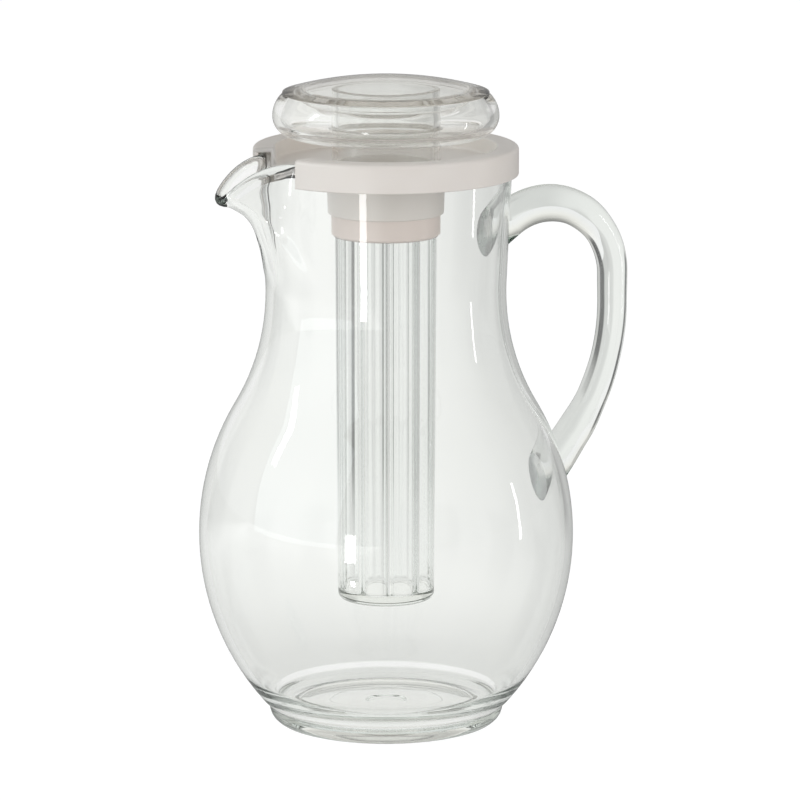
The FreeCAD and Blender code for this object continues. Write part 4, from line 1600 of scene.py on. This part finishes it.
@dataclass
class Studio:
    """Camera, lamps, white surroundings and a pale floor."""

    azimuth: float = -28.0
    camera_level: float = 0.579
    camera_distance: float = 2.227
    camera_beside: float = 0.00568
    pitch: float = 11.33
    lens: float = 252.1
    floor_radius: float = 6.0
    floor_albedo: float = 0.3
    floor_glow: float = 0.8
    room_level: float = 0.95
    overhead_loss: float = 0.42
    overhead_tone: tuple[float, float, float] = (1.0, 0.985, 0.93)
    floor_tone: tuple[float, float, float] = (0.992, 1.0, 0.972)
    through_level: float = 1.0
    through_floor: float = 0.87
    guided_gain: float = 0.6
    left_sheen: float = 1.3
    right_shade: float = 0.2
    panel_depth: float = 0.88
    ceiling_loss: float = 0.75
    right_loss: float = 0.35
    right_side: tuple[float, float] = (-0.45, -0.95)
    left_side: tuple[float, float] = (0.1, 0.8)
    back_wall: tuple[float, float] = (0.6, 1.0)
    gloss_rise: tuple[float, float] = (0.15, 0.8)
    tone_rise: tuple[float, float] = (-0.05, 0.4)
    panel_foot: tuple[float, float] = (0.3, 0.6)
    far_right: tuple[float, float] = (0.1, 0.6)
    near_right: tuple[float, float] = (0.02, 0.13)
    # reach of the painted contact shade on the floor, in metres from the axis
    contact_shade_reach: tuple[float, float] = (0.06, 0.24)
    sheen_side: tuple[float, float] = (-0.05, -0.4)
    sheen_reach: tuple[float, float] = (-0.2, 1.1)
    sheen_end: tuple[float, float] = (0.5, 0.1)
    panel_top: tuple[float, float] = (0.12, 0.4)
    panel_top_loss: float = 0.8
    ceiling_rise: tuple[float, float] = (0.2, 0.8)
    overhead_rise: tuple[float, float] = (0.2, 0.95)
    gloss_level: float = 0.1
    gloss_left: float = 0.36
    gloss_behind: float = 0.25
    gloss_top_loss: float = 0.5
    # painted shade on the floor seen through plastic, far to the right
    far_right_shade: float = 0.15
    # floor brightness left at the foot: a painted contact shade, seen through plastic
    contact_shade_level: float = 0.8
    dim_sheen: float = 0.02
    side_glow: float = 0.3
    through_albedo: float = 0.12

    def build_camera(self) -> None:
        """Adds the camera at the photograph's viewpoint."""
        data = bpy.data.cameras.new("viewpoint")
        data.lens = self.lens
        data.clip_end = 30.0
        camera = bpy.data.objects.new("viewpoint", data)
        turn = math.radians(self.azimuth)
        back = Vector((math.sin(turn), -math.cos(turn), 0)) * self.camera_distance
        beside = Vector((math.cos(turn), math.sin(turn), 0)) * self.camera_beside
        camera.location = back + beside + Vector((0, 0, self.camera_level))
        camera.rotation_euler = (math.radians(90 - self.pitch), 0, turn)
        bpy.context.scene.collection.objects.link(camera)
        bpy.context.scene.camera = camera

    def clear_way(self) -> float:
        """Direction behind the pitcher as the camera sees it, in degrees from +Y towards +X."""
        return -self.azimuth

    def build_room(self) -> None:
        """Makes the surroundings: white for the camera, panelled where plastic bends them and dimmer where it
        mirrors them.
        """
        world = bpy.data.worlds.new("room")
        bpy.context.scene.world = world
        recipe = Recipe(world)
        rays = recipe.ray_kinds()
        outwards = recipe.node("ShaderNodeTexCoord").outputs["Generated"]
        way = recipe.node("ShaderNodeSeparateXYZ", Vector=outwards)
        along_x, along_y, up = (recipe.wire(socket) for socket in way.outputs)
        unguided = 1.0 - rays.guided * self.guided_gain
        depth = (1.0 - up.smooth(*self.panel_top) * self.panel_top_loss) * unguided * self.panel_depth
        bent = (recipe.surroundings(along_x, along_y, self.clear_way(), depth)
                * (1.0 - up.smooth(*self.ceiling_rise) * unguided * self.ceiling_loss))
        turn = math.radians(self.clear_way())
        behind = along_x * math.sin(turn) + along_y * math.cos(turn)
        left = along_y * math.sin(turn) - along_x * math.cos(turn)
        gloss = ((self.gloss_level + left.smooth(*self.left_side) * self.gloss_left
                  + behind.smooth(*self.back_wall) * self.gloss_behind)
                 * (1.0 - up.smooth(*self.gloss_rise) * self.gloss_top_loss))
        bent = bent * (1.0 - left.smooth(*self.right_side) * self.right_loss)
        room = self.room_level * (1.0 - up.smooth(*self.overhead_rise) * self.overhead_loss)
        strength = rays.pick(1.0, bent * self.through_level, gloss, room)
        tone = recipe.blend(rays.through * up.smooth(*self.tone_rise), (1.0, 1.0, 1.0), self.overhead_tone)
        sky = recipe.node("ShaderNodeBackground", Color=tone, Strength=strength)
        recipe.node("ShaderNodeOutputWorld", Surface=sky.outputs[0])

    def build_floor(self) -> None:
        """Adds the floor, which shows white and keeps a faint shadow."""
        bm = bmesh.new()
        bmesh.ops.create_circle(bm, cap_ends=True, segments=96, radius=self.floor_radius)
        mesh = bpy.data.meshes.new("floor")
        bm.to_mesh(mesh)
        bm.free()
        floor = bpy.data.objects.new("floor", mesh)
        bpy.context.scene.collection.objects.link(floor)
        recipe = Recipe(bpy.data.materials.new("pale_floor"))
        rays = recipe.ray_kinds()
        place = recipe.node("ShaderNodeSeparateXYZ", Vector=recipe.object_place())
        along_x, along_y, _ = (recipe.wire(socket) for socket in place.outputs)
        away = (along_x * along_x + along_y * along_y).math("SQRT")
        turn = math.radians(self.clear_way())
        across = along_x * math.cos(turn) - along_y * math.sin(turn)
        behind = along_x * math.sin(turn) + along_y * math.cos(turn)
        depth = away.smooth(*self.panel_foot) * (1.0 - rays.guided * self.guided_gain) * self.panel_depth
        # Painted contact shade: the floor seen through the plastic is dimmed close to the pitcher's foot,
        # except for rays that were mirrored on their way.
        lit_share = (away.smooth(*self.contact_shade_reach) + rays.guided).math("MINIMUM", 1.0)
        bent = (recipe.surroundings(along_x, along_y, self.clear_way(), depth)
                # Painted shade: the floor seen through the plastic is darker to the right, both far off and
                # near the pitcher.
                * (1.0 - across.smooth(*self.far_right) * self.far_right_shade
                   - across.smooth(*self.near_right) * self.right_shade)
                * (self.contact_shade_level + lit_share * (1.0 - self.contact_shade_level)))
        left_sheen = (across.smooth(*self.sheen_side) * away.smooth(*self.sheen_reach)
                      * behind.smooth(*self.sheen_end) * self.left_sheen)
        strength = rays.pick(self.floor_glow, bent * self.through_floor, left_sheen + self.dim_sheen,
                             self.side_glow)
        tone = recipe.blend(rays.through, (1.0, 1.0, 1.0), self.floor_tone)
        glow = recipe.node("ShaderNodeEmission", Color=tone, Strength=strength)
        albedo = recipe.blend(rays.seen + (1.0 - rays.seen) * (1.0 - rays.through),
                              (self.through_albedo,) * 3, (self.floor_albedo,) * 3)
        matte = recipe.node("ShaderNodeBsdfDiffuse", Color=albedo)
        lit = recipe.node("ShaderNodeAddShader")
        recipe.tree.links.new(glow.outputs[0], lit.inputs[0])
        recipe.tree.links.new(matte.outputs[0], lit.inputs[1])
        below = recipe.node("ShaderNodeNewGeometry").outputs["Backfacing"]
        surface = recipe.mix(below, lit, recipe.node("ShaderNodeBsdfTransparent"))
        recipe.node("ShaderNodeOutputMaterial", Surface=surface.outputs[0])
        mesh.materials.append(recipe.owner)

    def build(self) -> None:
        """Builds the studio."""
        self.build_camera()
        self.build_room()
        self.build_floor()
        window = (0.88, 0.97, 1.0)
        facing = self.azimuth
        lamps = [
            # name, azimuth, distance, level, width, height, radiance
            Lamp("left_window", facing - 78, 1.2, 0.66, 1.25, 1.3, 0.85, window, aim=0.3, soft_only=True),
            Lamp("left_panel", facing - 58, 1.25, 0.62, 1.5, 1.24, 1.35, window, aim=0.3, glints_only=True),
            Lamp("left_strip", facing - 20, 0.55, 0.068, 0.06, 0.115, 8.5, aim=0.07),
            Lamp("shoulder_strip", facing - 82, 0.9, 0.63, 0.08, 0.36, 9.0, glints_only=True),
            Lamp("right_strip", facing + 87, 0.9, 0.15, 0.03, 0.3, 9.0, glints_only=True),
            Lamp("spot", facing - 17.4, 0.28, 0.008, 0.012, 0.012, 30.0, aim=0.06, glints_only=True),
            Lamp("front_fill", facing + 28, 1.5, 0.45, 0.9, 0.9, 2.0, soft_only=True),
        ]
        for lamp in lamps:
            lamp.build()
        scene = bpy.context.scene
        scene.view_settings.view_transform = "Standard"
        scene.cycles.max_bounces = 96
        scene.cycles.transmission_bounces = 64
        scene.cycles.glossy_bounces = 64
        scene.cycles.transparent_max_bounces = 24
        scene.cycles.caustics_refractive = False
        scene.cycles.caustics_reflective = False


def main() -> None:
    """Builds the pitcher piece by piece, and the studio around it."""
    logging.basicConfig(level=logging.INFO, format="%(name)s: %(message)s")
    vessel_clear = ClearPlastic("vessel_clear_plastic").build()
    handle_clear = ClearPlastic("handle_clear_plastic", ripple_scale=40.0, density=45.0).build()
    handle_bond = ClearPlastic("handle_bonded_face", roughness=0.22, haze=0.15, density=18.0,
                               clarity=0.62).build()
    cap_clear = ClearPlastic("cap_clear_plastic", ripple_scale=30.0, ripple_depth=0.0001, density=38.0,
                             body_colour=(0.85, 0.838, 0.815)).build()
    tube_clear = ClearPlastic("tube_clear_plastic", ripple_scale=34.0, ripple_depth=0.00003).build()
    lid_white = SatinPlastic("lid_white_plastic", from_photo(223, 218, 213),
                             from_photo(218, 211, 204)).build()
    nut_white = SatinPlastic("nut_white_plastic", from_photo(226, 214, 207),
                             from_photo(220, 207, 199)).build()
    seal = SealRubber("seal_silicone").build()
    vessel = Vessel()
    vessel.build(vessel_clear)
    HandleRod(vessel).build(handle_clear, handle_bond)
    RingLid().build(lid_white)
    SealSet().build(seal)
    SaucerCap().build(cap_clear)
    IceCore().build(tube_clear, nut_white)
    Studio().build()


if __name__ == "__main__":
    main()
